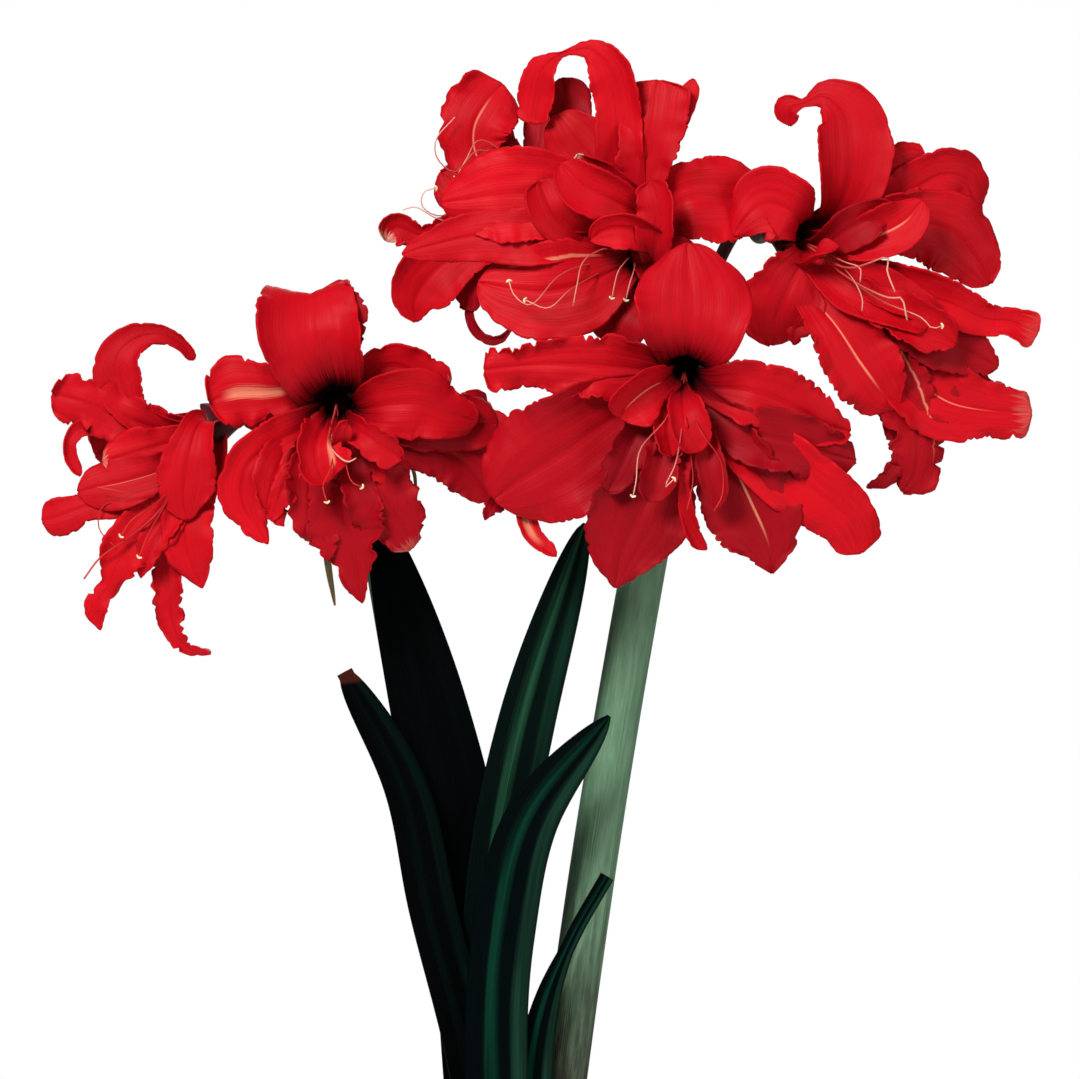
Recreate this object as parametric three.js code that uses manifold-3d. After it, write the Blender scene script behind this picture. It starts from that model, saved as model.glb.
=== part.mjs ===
import * as THREE from "three";
import { mergeVertices } from "three/addons/utils/BufferGeometryUtils.js";
import Module from "manifold-3d";

const wasm = await Module();
wasm.setup();

// Driving dimensions, in millimetres
// The origin is the centre of the pot's underside, +Z is up and the plant's front looks along -Y.
const POT_HEIGHT = 150;
const POT_BASE_RADIUS = 57;
const POT_TOP_RADIUS = 82;
const POT_RIM_RADIUS = 87;
const POT_RIM_HEIGHT = 26;
const POT_WALL = 5;
const POT_FLOOR = 7;
const DRAIN_HOLES = 3;
const DRAIN_RADIUS = 4.5;
const DRAIN_RING = 30;
const SOIL_TOP = 131;
const BULB_RADIUS = 46;
const BULB_BOTTOM = 84;
const NECK_TOP = 168;
const NECK_RADIUS = 32;
const NECK_POCKET_RADIUS = 29;
const NECK_POCKET_FLOOR = 154;
const GAP = 0.35;
const ROUND_SIDES = 32;
const DRAIN_SIDES = 12;
const POT_EDGE = 2;
const NECK_EDGE = 1;

// Scapes and leaves start below the neck pocket's floor and are cut flat just above it
const FOOT_TRIM = 4;
const FOOT_Z = NECK_POCKET_FLOOR - FOOT_TRIM;

// The two scapes, leaning apart from the bulb's neck to their umbels
const LEFT_UMBEL = [-78, 16, 572];
const RIGHT_UMBEL = [84, 16, 622];
const LEFT_FOOT = [-6, 16, FOOT_Z];
const RIGHT_FOOT = [10, 5, FOOT_Z];
const LEFT_BEND = 0;
const RIGHT_BEND = -4;
const LEFT_SCAPE_RADIUS = 9.5;
const RIGHT_SCAPE_RADIUS = 11.6;
const SCAPE_SIDES = 12;
const SCAPE_STEPS = 9;
const SCAPE_HEAD_START = 0.97;
const SCAPE_HEAD_SHARE = 0.7;
const PEDICEL_RADIUS = 3.6;
const PEDICEL_SIDES = 7;
const PEDICEL_STEPS = 6;

// The blooms' common build
const PETAL_THICKNESS = 1.1;
const SLIVER = 0.5;
const FLARE_DEPTH = 17;
const FIRST_POINT_DEPTH = 6;
const TUBE_LENGTH = 27;
const TUBE_THROAT_RADIUS = 12;
const CORE_HEIGHT = 9;
const TUBE_NECK_RADIUS = 5;
const OVARY_LENGTH = 12;
const OVARY_RADIUS = 6;
const TUBE_BELL_STEP = 3;
const TUBE_SIDES = 10;
const OUTER_ROOT_RING = 8;
const INNER_ROOT_RING = 5.5;
const PETAL_ROOT_DEPTH = 6;
const BROAD_PETAL = 18.5;
const SEGMENT_LENGTH = 30;
const FEWEST_SEGMENTS = 3;
const BROAD_COLUMNS = 3;
const NARROW_COLUMNS = 2;
const CLAW_SHARE = 0.4;
const CLAW_LEAST = 2;
const TIP_SHARE = 0.5;
const STAMEN_RADIUS = 0.9;
const STAMEN_SIDES = 3;
const STAMEN_STEPS = 3;
const ANTHER_RADIUS = 1.6;
const ANTHER_START = 0.9;
const LEAF_THICKNESS = 2.4;
const BRACT_HALF_WIDTH = 5;

const COLOURS = {
  petal: 0xd81c24,
  scape: 0x5c7f68,
  leaf: 0x0d4a2c,
  bulb: 0x8a5a34,
  soil: 0x2c2019,
  pot: 0xb0623c,
};

// Vectors and shares of a value
const vec = (p) => new THREE.Vector3(p[0], p[1], p[2]);
const lerp = THREE.MathUtils.lerp;

// Closed solids: three.js geometry in and out of the boolean library
function solidFrom(geometry) {
  const bare = geometry.clone();
  bare.deleteAttribute("normal");
  bare.deleteAttribute("uv");
  const merged = mergeVertices(bare, 1e-4);
  return new wasm.Manifold(new wasm.Mesh({
    numProp: 3,
    vertProperties: new Float32Array(merged.attributes.position.array),
    triVerts: new Uint32Array(merged.index.array),
  }));
}

function geometryFrom(solid) {
  const mesh = solid.getMesh();
  const geometry = new THREE.BufferGeometry();
  geometry.setAttribute("position", new THREE.BufferAttribute(mesh.vertProperties, 3));
  geometry.setIndex(new THREE.BufferAttribute(mesh.triVerts, 1));
  return geometry;
}

// Pieces grown together become one body: slivers are smoothed off, sealed pores are filled
function fuse(solids) {
  const whole = solids.reduce((sum, next) => sum.add(next)).simplify(SLIVER);
  const bodies = whole.decompose().sort((a, b) => b.volume() - a.volume());
  return bodies[0];
}

// The flat foot of a scape or leaf, clear of the neck pocket's floor
function cutAtFoot(solid) {
  return solid.trimByPlane([0, 0, 1], NECK_POCKET_FLOOR + GAP);
}

// A frame carried along a curve without turning about it
function carriedFrames(curve, steps, facing) {
  const shares = Array.from({ length: steps + 1 }, (_, i) => i / steps);
  const tangents = shares.map((u) => curve.getTangentAt(u));
  const normals = [];
  const middle = Math.round(steps / 2);
  const carry = (i, from) => {
    normals[i] = from.clone().addScaledVector(tangents[i], -from.dot(tangents[i])).normalize();
  };
  carry(middle, facing);
  for (let i = middle + 1; i <= steps; i += 1) carry(i, normals[i - 1]);
  for (let i = middle - 1; i >= 0; i -= 1) carry(i, normals[i + 1]);
  return shares.map((u, i) => ({
    u,
    point: curve.getPointAt(u),
    tangent: tangents[i],
    normal: normals[i],
    side: new THREE.Vector3().crossVectors(tangents[i], normals[i]),
  }));
}

function curveThrough(points) {
  return new THREE.CatmullRomCurve3(points.map(vec), false, "centripetal");
}

// The half-width at any share of the way along a curve, between the values given at its points
const LENGTH_STEPS = 24;

function widthAlong(curve, halves) {
  const spans = halves.length - 1;
  const lengths = curve.getLengths(spans * LENGTH_STEPS);
  const shares = halves.map((half, k) => lengths[k * LENGTH_STEPS] / lengths[spans * LENGTH_STEPS]);
  return (u) => {
    const passed = shares.filter((share) => share <= u).length;
    const k = Math.min(Math.max(passed - 1, 0), spans - 1);
    return lerp(halves[k], halves[k + 1], (u - shares[k]) / (shares[k + 1] - shares[k]));
  };
}

// A stalk: a capped cylinder bent along a curve, with its radius a function of the way along
const STALK_FACING = new THREE.Vector3(0.31, -0.93, 0.2);

function stalk(points, radiusAt, sides, steps) {
  const frames = carriedFrames(curveThrough(points), steps, STALK_FACING);
  const cylinder = new THREE.CylinderGeometry(1, 1, 1, sides, steps);
  const place = cylinder.attributes.position;
  for (let i = 0; i < place.count; i += 1) {
    const step = Math.round((place.getY(i) + 0.5) * steps);
    const frame = frames[step];
    const radius = radiusAt(frame.u);
    const moved = frame.point.clone();
    moved.addScaledVector(frame.normal, place.getX(i) * radius);
    moved.addScaledVector(frame.side, -place.getZ(i) * radius);
    place.setXYZ(i, moved.x, moved.y, moved.z);
  }
  return solidFrom(cylinder);
}

// A blade: a petal or leaf as a thin closed sheet round a spine
// shape gives half-width, cup, ruffle and twist along it; both faces are split alike.
const MARGIN_LAG = 2.1;
const CUP_NARROWING = 0.28;

function blade(curve, facing, shape, alongSteps, acrossSteps) {
  const frames = carriedFrames(curve, alongSteps, facing);
  const surface = (i, j) => {
    const frame = frames[i];
    const v = (j / acrossSteps) * 2 - 1;
    const turn = THREE.MathUtils.degToRad(shape.twist * frame.u);
    const side = frame.side.clone().applyAxisAngle(frame.tangent, turn);
    const normal = frame.normal.clone().applyAxisAngle(frame.tangent, turn);
    const half = shape.halfAt(frame.u);
    const cup = lerp(shape.cupBase, shape.cupTip, frame.u);
    const wave = Math.sin(shape.waves * Math.PI * frame.u + shape.phase + (v > 0 ? MARGIN_LAG : 0));
    const lift = half * (cup * v * v + shape.ruffle * wave * Math.abs(v) ** 3 * frame.u);
    const across = v * half * (1 - CUP_NARROWING * Math.abs(cup) * v * v);
    return frame.point.clone().addScaledVector(side, across).addScaledVector(normal, lift);
  };
  const grid = [];
  for (let i = 0; i <= alongSteps; i += 1) {
    const row = [];
    for (let j = 0; j <= acrossSteps; j += 1) {
      row.push(surface(i, j));
    }
    grid.push(row);
  }
  const positions = [];
  const rows = alongSteps + 1;
  const columns = acrossSteps + 1;
  for (const faceSide of [1, -1]) {
    for (let i = 0; i < rows; i += 1) {
      for (let j = 0; j < columns; j += 1) {
        const along = grid[Math.min(i + 1, alongSteps)][j].clone().sub(grid[Math.max(i - 1, 0)][j]);
        const across = grid[i][Math.min(j + 1, acrossSteps)].clone().sub(grid[i][Math.max(j - 1, 0)]);
        const out = new THREE.Vector3().crossVectors(across, along).normalize();
        const moved = grid[i][j].clone().addScaledVector(out, faceSide * shape.thickness / 2);
        positions.push(moved.x, moved.y, moved.z);
      }
    }
  }
  const index = [];
  const under = rows * columns;
  const at = (i, j) => i * columns + j;
  const quad = (a, b, c, d) => index.push(a, b, c, a, c, d);
  for (let i = 0; i < alongSteps; i += 1) {
    for (let j = 0; j < acrossSteps; j += 1) {
      quad(at(i, j), at(i, j + 1), at(i + 1, j + 1), at(i + 1, j));
      index.push(under + at(i, j), under + at(i + 1, j + 1), under + at(i, j + 1));
      index.push(under + at(i, j), under + at(i + 1, j), under + at(i + 1, j + 1));
    }
  }
  for (let i = 0; i < alongSteps; i += 1) {
    quad(at(i, 0), at(i + 1, 0), under + at(i + 1, 0), under + at(i, 0));
    const near = at(i, acrossSteps);
    const far = at(i + 1, acrossSteps);
    quad(far, near, under + near, under + far);
  }
  for (let j = 0; j < acrossSteps; j += 1) {
    quad(at(0, j + 1), at(0, j), under + at(0, j), under + at(0, j + 1));
    const near = at(alongSteps, j);
    const far = at(alongSteps, j + 1);
    quad(near, far, under + far, under + near);
  }
  const geometry = new THREE.BufferGeometry();
  geometry.setAttribute("position", new THREE.Float32BufferAttribute(positions, 3));
  geometry.setIndex(index);
  return solidFrom(geometry);
}

// One double bloom: tube and ovary turned on their axis, petals fanned from the throat, stamens.
// A petal's points are [across, up, forward, half-width], from the middle of the open face to its tip;
// forward is the plant's front. The throat lies a flare's depth behind the face.
const CUP_AT_CLAW = 0.55;
const CUP_AT_TIP = -0.15;
const RUFFLE = 0.22;
const RUFFLE_WAVES = 3;
const PETAL_PHASE_STEP = 2.4;
const BLOOM_PHASE_STEP = 1.7;

function bloomAxis(spec) {
  return new THREE.Vector3(spec.axis[0], -spec.axis[2], spec.axis[1]).normalize();
}

function bloom(spec, number) {
  const placed = (p) => [spec.face[0] + p[0], spec.face[1] - p[2], spec.face[2] + p[1]];
  const axis = bloomAxis(spec);
  const throat = vec(spec.face).addScaledVector(axis, -FLARE_DEPTH);
  const solids = [tubeSolid(throat, axis)];
  spec.petals.forEach((petal, k) => {
    const [first, ...rest] = petal.path.map((p) => vec(placed(p)));
    first.addScaledVector(axis, -FIRST_POINT_DEPTH);
    const radial = first.clone().sub(throat);
    radial.addScaledVector(axis, -radial.dot(axis)).normalize();
    const halves = petal.path.map((p) => p[3]);
    const broad = Math.max(...halves) > BROAD_PETAL;
    const root = throat.clone().addScaledVector(radial, broad ? OUTER_ROOT_RING : INNER_ROOT_RING);
    root.addScaledVector(axis, -PETAL_ROOT_DEPTH);
    const curve = curveThrough([root, first, ...rest].map((p) => p.toArray()));
    const claw = Math.max(CLAW_LEAST, halves[0] * CLAW_SHARE);
    const widths = widthAlong(curve, [claw, ...halves]);
    const shape = {
      halfAt: (u) => widths(u) * (u < 1 ? 1 : TIP_SHARE),
      cupBase: CUP_AT_CLAW,
      cupTip: petal.cup ?? CUP_AT_TIP,
      ruffle: RUFFLE,
      waves: RUFFLE_WAVES,
      phase: k * PETAL_PHASE_STEP + number * BLOOM_PHASE_STEP,
      twist: 0,
      thickness: PETAL_THICKNESS,
    };
    const look = petal.look ? new THREE.Vector3(petal.look[0], -petal.look[2], petal.look[1]) : axis;
    const segments = Math.max(FEWEST_SEGMENTS, Math.round(curve.getLength() / SEGMENT_LENGTH));
    solids.push(blade(curve, look, shape, segments, broad ? BROAD_COLUMNS : NARROW_COLUMNS));
  });
  for (const path of spec.stamens) {
    const points = [throat.toArray(), ...path.map(placed)];
    const radiusAt = (u) => (u > ANTHER_START ? ANTHER_RADIUS : STAMEN_RADIUS);
    solids.push(stalk(points, radiusAt, STAMEN_SIDES, STAMEN_STEPS));
  }
  return fuse(solids);
}

function tubeSolid(throat, axis) {
  const profile = [
    [0, -TUBE_LENGTH - OVARY_LENGTH],
    [PEDICEL_RADIUS, -TUBE_LENGTH - OVARY_LENGTH],
    [OVARY_RADIUS, -TUBE_LENGTH - OVARY_LENGTH * 0.5],
    [TUBE_NECK_RADIUS, -TUBE_LENGTH],
    [TUBE_NECK_RADIUS + TUBE_BELL_STEP, -TUBE_LENGTH * 0.45],
    [TUBE_THROAT_RADIUS, 0],
    [TUBE_THROAT_RADIUS, CORE_HEIGHT * 0.5],
    [TUBE_THROAT_RADIUS * 0.7, CORE_HEIGHT],
    [0, CORE_HEIGHT],
  ].map((p) => new THREE.Vector2(p[0], p[1]));
  const geometry = new THREE.LatheGeometry(profile, TUBE_SIDES);
  const turn = new THREE.Quaternion().setFromUnitVectors(new THREE.Vector3(0, 1, 0), axis);
  geometry.applyQuaternion(turn);
  geometry.translate(throat.x, throat.y, throat.z);
  return solidFrom(geometry);
}

function tubeEnd(spec) {
  const behind = FLARE_DEPTH + TUBE_LENGTH + OVARY_LENGTH + GAP;
  return vec(spec.face).addScaledVector(bloomAxis(spec), -behind);
}

// The blooms of the left umbel
const BLOOM_LEFT = {
  face: [-172, -4, 571],
  axis: [-0.94, -0.3, 0.08],
  petals: [
    {
      path: [
        [-3.8, 1.2, 4, 6.9], [-18.3, 11.7, 6, 9], [-26.3, 26.2, 6, 13.4], [-26.8, 40.2, 6, 11.7],
        [-18.8, 48.7, 6, 8.5], [-6.3, 51.2, 5, 5], [4.6, 46.2, 3, 3.7], [10.6, 38.7, 2, 3.2],
      ], cup: 0.1, look: [-0.15, 0, 1],
    },
    {
      path: [
        [-3.8, 0.7, 5, 10.1], [-27.3, 10.7, 7, 13.9], [-45.2, 17.7, 8, 12.3],
        [-60.3, 21.7, 6, 11.7],
      ], look: [-0.15, 0, 1],
    },
    {
      path: [
        [-3.7, -3.8, 10, 9], [-21.2, -8.8, 12, 12.3], [-34.7, -12.3, 12, 6.9],
      ], look: [-0.15, 0, 1],
    },
    {
      path: [
        [-6.2, -16.3, 14, 9], [-23.6, -22.3, 14, 13.4], [-38.6, -25.3, 12, 11.2],
        [-47.2, -27.3, 10, 5.4],
      ], look: [-0.15, 0, 1],
    },
    {
      path: [
        [-11.3, -21.3, 8, 9], [-28.7, -29.8, 10, 11.2], [-43.7, -34.8, 10, 7.4],
        [-55.2, -39.3, 10, 10.1], [-65.2, -41.8, 8, 8.5],
      ], look: [-0.15, 0, 1],
    },
    {
      path: [
        [-3.7, -31.3, 12, 11.2], [-16.1, -48.8, 14, 14.4], [-26.2, -62.2, 12, 11.2],
        [-31.2, -73.2, 10, 5], [-38.2, -84.2, 8, 6.4], [-36.3, -96.2, 6, 1.6],
      ], look: [-0.15, 0, 1],
    },
    {
      path: [
        [-1.3, -31.3, 8, 10.1], [-3.3, -56.2, 6, 9.6], [-2.4, -73.7, 4, 7.5], [-1.9, -87.2, 4, 7.7],
        [2.1, -99.7, 4, 5], [9.1, -106.2, 3, 3], [19.1, -108.2, 2, 1.3],
      ], look: [-0.15, 0, 1],
    },
    {
      path: [
        [8.8, 5.6, 16, 8], [10, -4.4, 22, 12.3], [7.5, -18.3, 22, 16.1], [6.4, -32.8, 20, 11.2],
        [7.9, -41.3, 18, 4.3],
      ], look: [-0.15, 0, 1],
    },
    {
      path: [
        [11.7, -13.8, 10, 11.2], [8.8, -31.3, 14, 13.9], [7.4, -46.3, 16, 13.4],
        [9.8, -61.2, 14, 11.2], [14.7, -75.2, 10, 1.9],
      ], look: [-0.15, 0, 1],
    },
    {
      path: [
        [-11.4, -3.8, 0, 9], [-26.5, -1.2, -6, 15.5], [-39.2, -8.7, -14, 10.1],
      ], look: [-0.15, 0, 1],
    },
    { path: [[-14, -8, -14, 14.5], [-28, -4, -30, 18.5], [-34, -14, -42, 10.5]] },
    {
      path: [
        [-6, -16, -14, 13.3], [-10, -40, -24, 18.8], [-8, -62, -30, 10.5],
      ], look: [-0.5, 0, -0.8],
    },
  ],
  stamens: [
    [[-1.1, -20.3, 18], [-18.5, -27.3, 22], [-37.5, -24.8, 20]],
    [[-3.6, -28.8, 20], [-21, -42.3, 22], [-25.5, -49.3, 20]],
    [[-3.6, -33.8, 20], [-12, -48.8, 22], [-16.5, -59.7, 20]],
    [[-6.1, -36.3, 18], [-22, -50.3, 18], [-36.1, -60.2, 16], [-44.1, -70.7, 14]],
  ],
};

const BLOOM_FRONT = {
  face: [-90, -48, 585],
  axis: [0, -0.12, 1],
  petals: [
    {
      path: [
        [-5, 14, 4, 20.5], [-13, 38, 8, 28.5], [-13, 58, -4, 22.9], [-13, 55, -18, 15.7],
      ], cup: 0.3,
    },
    {
      path: [
        [-17.9, 8.4, -2, 10.1], [-35.4, 8.4, -2, 15.5], [-50.3, 7.9, -4, 17.7],
        [-63.3, 3.4, -4, 12.3],
      ],
    },
    {
      path: [
        [-12.9, -8, 2, 10.1], [-28.8, -16.5, 6, 13.4], [-43.7, -28.5, 8, 12.3],
        [-46.2, -42.9, 6, 12.8], [-40.7, -57.3, 5, 7.4], [-33.8, -67.2, 5, 1.6],
      ],
    },
    {
      path: [
        [-17.9, -15.5, 4, 9], [-26.8, -26.5, 8, 12.8], [-31.2, -40.4, 10, 10.7],
        [-29.3, -52.8, 9, 5.4], [-25.8, -58.3, 8, 1.6],
      ],
    },
    {
      path: [
        [-5.3, -8.1, 14, 8], [-9.7, -18.1, 20, 14.4], [-8.7, -28, 22, 15], [-4.8, -37.4, 20, 8],
      ], cup: 0.5,
    },
    {
      path: [
        [7.1, -8.1, 14, 5.4], [16.1, -14.6, 20, 9], [25, -20.6, 22, 10.1], [33, -25, 20, 4.3],
      ], cup: 0.4,
    },
    {
      path: [
        [13, -0.6, 4, 9], [25.9, 1.9, 10, 17.1], [41.9, 2.3, 12, 18.8], [56.8, -3.1, 8, 12.3],
        [70.7, -6, 2, 6.9],
      ],
    },
    {
      path: [
        [12.9, 11.9, -6, 10.1], [26.8, 21.4, -10, 12.8], [42.7, 16, -12, 11.2], [55.7, 9, -14, 9.6],
      ],
    },
    { path: [[21.9, -5.5, 2, 9], [44.3, -7.5, 2, 14.4], [64.2, -7, -2, 14.4], [80.6, -7.5, -6, 10.1]] },
    {
      path: [
        [17.9, -11.5, 0, 9], [35.8, -18, -2, 12.3], [54.2, -21.4, -6, 13.9],
        [69.1, -31.4, -10, 15.5], [77.1, -45.3, -12, 9],
      ],
    },
    {
      path: [
        [8, -15.5, 4, 9], [16, -32.9, 8, 16.6], [24.9, -47.9, 10, 18.8], [32.9, -60.3, 8, 13.4],
        [37.8, -69.7, 6, 9],
      ],
    },
    {
      path: [
        [2, -15.5, 2, 9], [3, -35.4, 6, 16.6], [4.5, -55.3, 6, 20.9], [8.5, -71.7, 4, 12.3],
        [10.5, -85.1, 2, 6.9], [12.9, -96.6, 0, 1.6],
      ],
    },
    {
      path: [
        [-6.9, -15.5, 4, 8], [-11.9, -34.4, 8, 13.4], [-10.9, -49.3, 8, 13.9], [-5.9, -65.2, 6, 8],
        [-3.4, -75.7, 5, 1.6],
      ],
    },
    { path: [[-14, 8, -14, 13.3], [-34, 4, -22, 17.6], [-46, -8, -30, 9.9]], look: [-0.3, 0, 1] },
  ],
  stamens: [
    [[-2.7, -30.5, 26], [-6.2, -38.4, 26], [-4.2, -46.4, 26]],
    [[4.7, -25.5, 24], [8.2, -36.5, 26], [13.2, -38.9, 26]],
    [[-2.7, -18.6, 26], [1.3, -23.6, 28], [6.2, -26.5, 28], [10.2, -24.6, 26]],
  ],
};

const BLOOM_BACK = {
  face: [-38, 64, 572],
  axis: [0.5, 0, -0.85],
  petals: [
    { path: [[14, 0, -2, 15.2], [24, -6, 2, 18.8], [20, -32, 4, 10.5]] },
    { path: [[12, 6, -6, 14.4], [22, 8, -18, 17.7], [24, 10, -34, 9.9]] },
    { path: [[-2, 12, -14, 13.7], [-14, 18, -28, 20.1], [-22, 20, -44, 11.1]] },
    { path: [[-6, 2, -16, 9.6], [-26, 0, -32, 21.3], [-42, -8, -44, 11.7]] },
    { path: [[0, -6, -12, 6.4], [-6, -8, -28, 12.3], [-10, -9, -44, 6.8]] },
    { path: [[10, -10, -8, 14.8], [20, -18, -20, 18.8], [22, -24, -36, 10.5]] },
    { path: [[10, 2, -16, 9.1], [22, 2, -30, 14.6], [30, 0, -48, 8]], cup: 0.4 },
    { path: [[4, -8, -18, 8.3], [8, -16, -36, 13.4], [10, -20, -52, 7.4]], cup: 0.4 },
  ],
  stamens: [
    [[6, -4, -20], [12, -12, -44]],
    [[2, 2, -20], [4, -2, -46]],
  ],
};

// The blooms of the right umbel
const BLOOM_TOP_LEFT = {
  face: [4, 34, 694],
  axis: [-0.8, 0.2, -0.35],
  petals: [
    {
      path: [
        [-12.6, 7.3, 4, 9], [-23.6, 17.3, 6, 15.5], [-25.6, 31.3, 6, 18.8], [-19.1, 44.9, 4, 18.8],
        [-11.1, 54.5, 0, 12.3],
      ], look: [-0.15, 0, 1],
    },
    {
      path: [
        [-10.1, 3.8, 2, 9], [-22.6, 1.3, 4, 15.5], [-35.1, 3.8, 4, 13.4], [-42.7, 10.3, 2, 6.9],
      ], look: [-0.15, 0, 1],
    },
    {
      path: [
        [-12.6, -11.3, 6, 9], [-35.1, -17.8, 8, 9], [-52.7, -21.9, 8, 6.3], [-65.2, -18.3, 8, 10.1],
        [-69.7, -24.4, 8, 5.4],
      ], cup: 0.5, look: [-0.15, 0, 1],
    },
    {
      path: [
        [-10.1, -18.8, 4, 9], [-31.6, -30.9, 6, 14.4], [-47.7, -42.9, 6, 18.8],
        [-54.7, -53.9, 4, 13.9], [-54.7, -64.9, 2, 3.8],
      ], cup: 0.3, look: [-0.15, 0, 1],
    },
    {
      path: [
        [-22.6, -46.3, 2, 3.2], [-27.6, -56.4, 2, 2.6], [-25.6, -67.9, 2, 2.6],
        [-19.6, -73.4, 2, 2.8], [-12.6, -73.4, 2, 2.2], [-6.5, -67.9, 2, 1],
      ], cup: 0.4, look: [-0.15, 0, 1],
    },
    {
      path: [
        [2.5, 14, -4, 6.9], [10, 31.6, -8, 11.2], [11.5, 46.7, -10, 11.2], [7.5, 54.8, -12, 6.9],
      ], look: [-0.15, 0, 1],
    },
    { path: [[-10, 16, -16, 16.4], [-24, 26, -34, 20.5], [-36, 28, -48, 11.7]] },
    { path: [[-16, -2, -18, 14.2], [-34, -6, -36, 19.9], [-42, -14, -54, 11.1]] },
    { path: [[-6, -16, -14, 14.2], [-20, -32, -30, 19.9], [-34, -42, -44, 11.1]] },
    { path: [[-18, 6, -4, 12.1], [-34, 12, -8, 12.5], [-44, 8, -16, 7.4]], cup: 0.4 },
  ],
  stamens: [
    [[-22.6, 21.2, 12], [-35.1, 10.2, 12], [-44.1, 17.2, 12], [-44.6, 26.2, 12], [-35.1, 37.7, 12]],
    [[-27.6, -3.9, 12], [-42.6, -11.9, 12], [-51.6, -6.9, 12], [-50.6, 0.1, 12], [-44.6, 2.1, 12]],
  ],
};

const BLOOM_UPPER = {
  face: [55, -46, 662],
  axis: [-0.15, 0.05, 1],
  petals: [
    {
      path: [
        [0.3, 22.1, -4, 10.1], [-3.2, 49.4, -2, 13.4], [-4.7, 75.2, 2, 12.8], [-9.2, 91.6, 4, 12.3],
        [-18.6, 101.6, 2, 6], [-32.1, 99.6, 0, 1.6], [-41.5, 92.8, -4, 8], [-45, 79.4, -8, 10.7],
        [-47.5, 65, -10, 9],
      ], cup: 0.1,
    },
    { path: [[3.3, 19.5, -2, 9], [8.7, 44.4, 2, 14.4], [13.2, 66.7, 4, 17.1], [15.7, 86.6, 2, 17.7]] },
    {
      path: [
        [13.8, 18.1, -6, 10.1], [29.2, 26, -2, 20.9], [47.1, 27.1, -6, 22.5],
        [62.1, 24.7, -12, 16.6], [70.7, 21.3, -18, 9],
      ],
    },
    {
      path: [
        [-13.6, 20.9, 4, 12.3], [-38.5, 28.8, 8, 23.1], [-63.4, 28.8, 8, 24.2],
        [-82.3, 26.4, 4, 15.5], [-92.8, 25.5, 0, 8],
      ],
    },
    {
      path: [
        [-14.7, 9.5, 6, 9], [-43.5, 8.4, 10, 15.5], [-73.3, 8.9, 8, 13.4], [-98.2, 4, 4, 8],
        [-112.2, 0.1, 2, 2.2],
      ],
    },
    {
      path: [
        [-2.7, -6, 8, 10.1], [-21.1, -15, 12, 24.2], [-41, -19, 12, 25.2], [-59.4, -17.4, 8, 18.8],
        [-74.3, -13.9, 4, 8],
      ],
    },
    { path: [[3.8, -15.4, 6, 10.1], [-4.7, -28.9, 8, 18.8], [-13.6, -41.8, 4, 13.4]] },
    {
      path: [
        [7.2, 17.8, 12, 6.9], [-7.7, 26.2, 18, 13.4], [-22.6, 33.6, 20, 13.9], [-33.1, 45, 18, 6.9],
      ], cup: 0.4,
    },
    {
      path: [
        [12.2, 5.8, 16, 6.9], [1.2, 12.2, 20, 10.1], [-10.7, 11.7, 20, 9], [-18.7, 6.8, 18, 3.2],
      ], cup: 0.4,
    },
    { path: [[-2.7, 24.6, -8, 9], [-16.1, 44, -8, 16.6], [-28.1, 59, -10, 15.5], [-35.5, 70, -12, 8]] },
    {
      path: [
        [-11.1, 24.7, -14, 6.9], [-25.1, 59.7, -18, 9], [-30, 78.1, -18, 11.7],
        [-33, 88.1, -18, 7.4],
      ],
    },
  ],
  stamens: [
    [[-13.7, 1.7, 26], [-22.2, -4.3, 30], [-25.1, -15.7, 28], [-27.1, -26.1, 26]],
    [[-1.3, -4.2, 24], [-4.8, -9.2, 28], [-7.8, -22.1, 26]],
    [[3.2, -8.2, 22], [0.7, -16.2, 26], [-0.8, -23.1, 24]],
    [[-33.6, -10.7, 26], [-48.5, -25.6, 26], [-56.4, -20.6, 26], [-58.9, -13.7, 26]],
  ],
};

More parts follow.
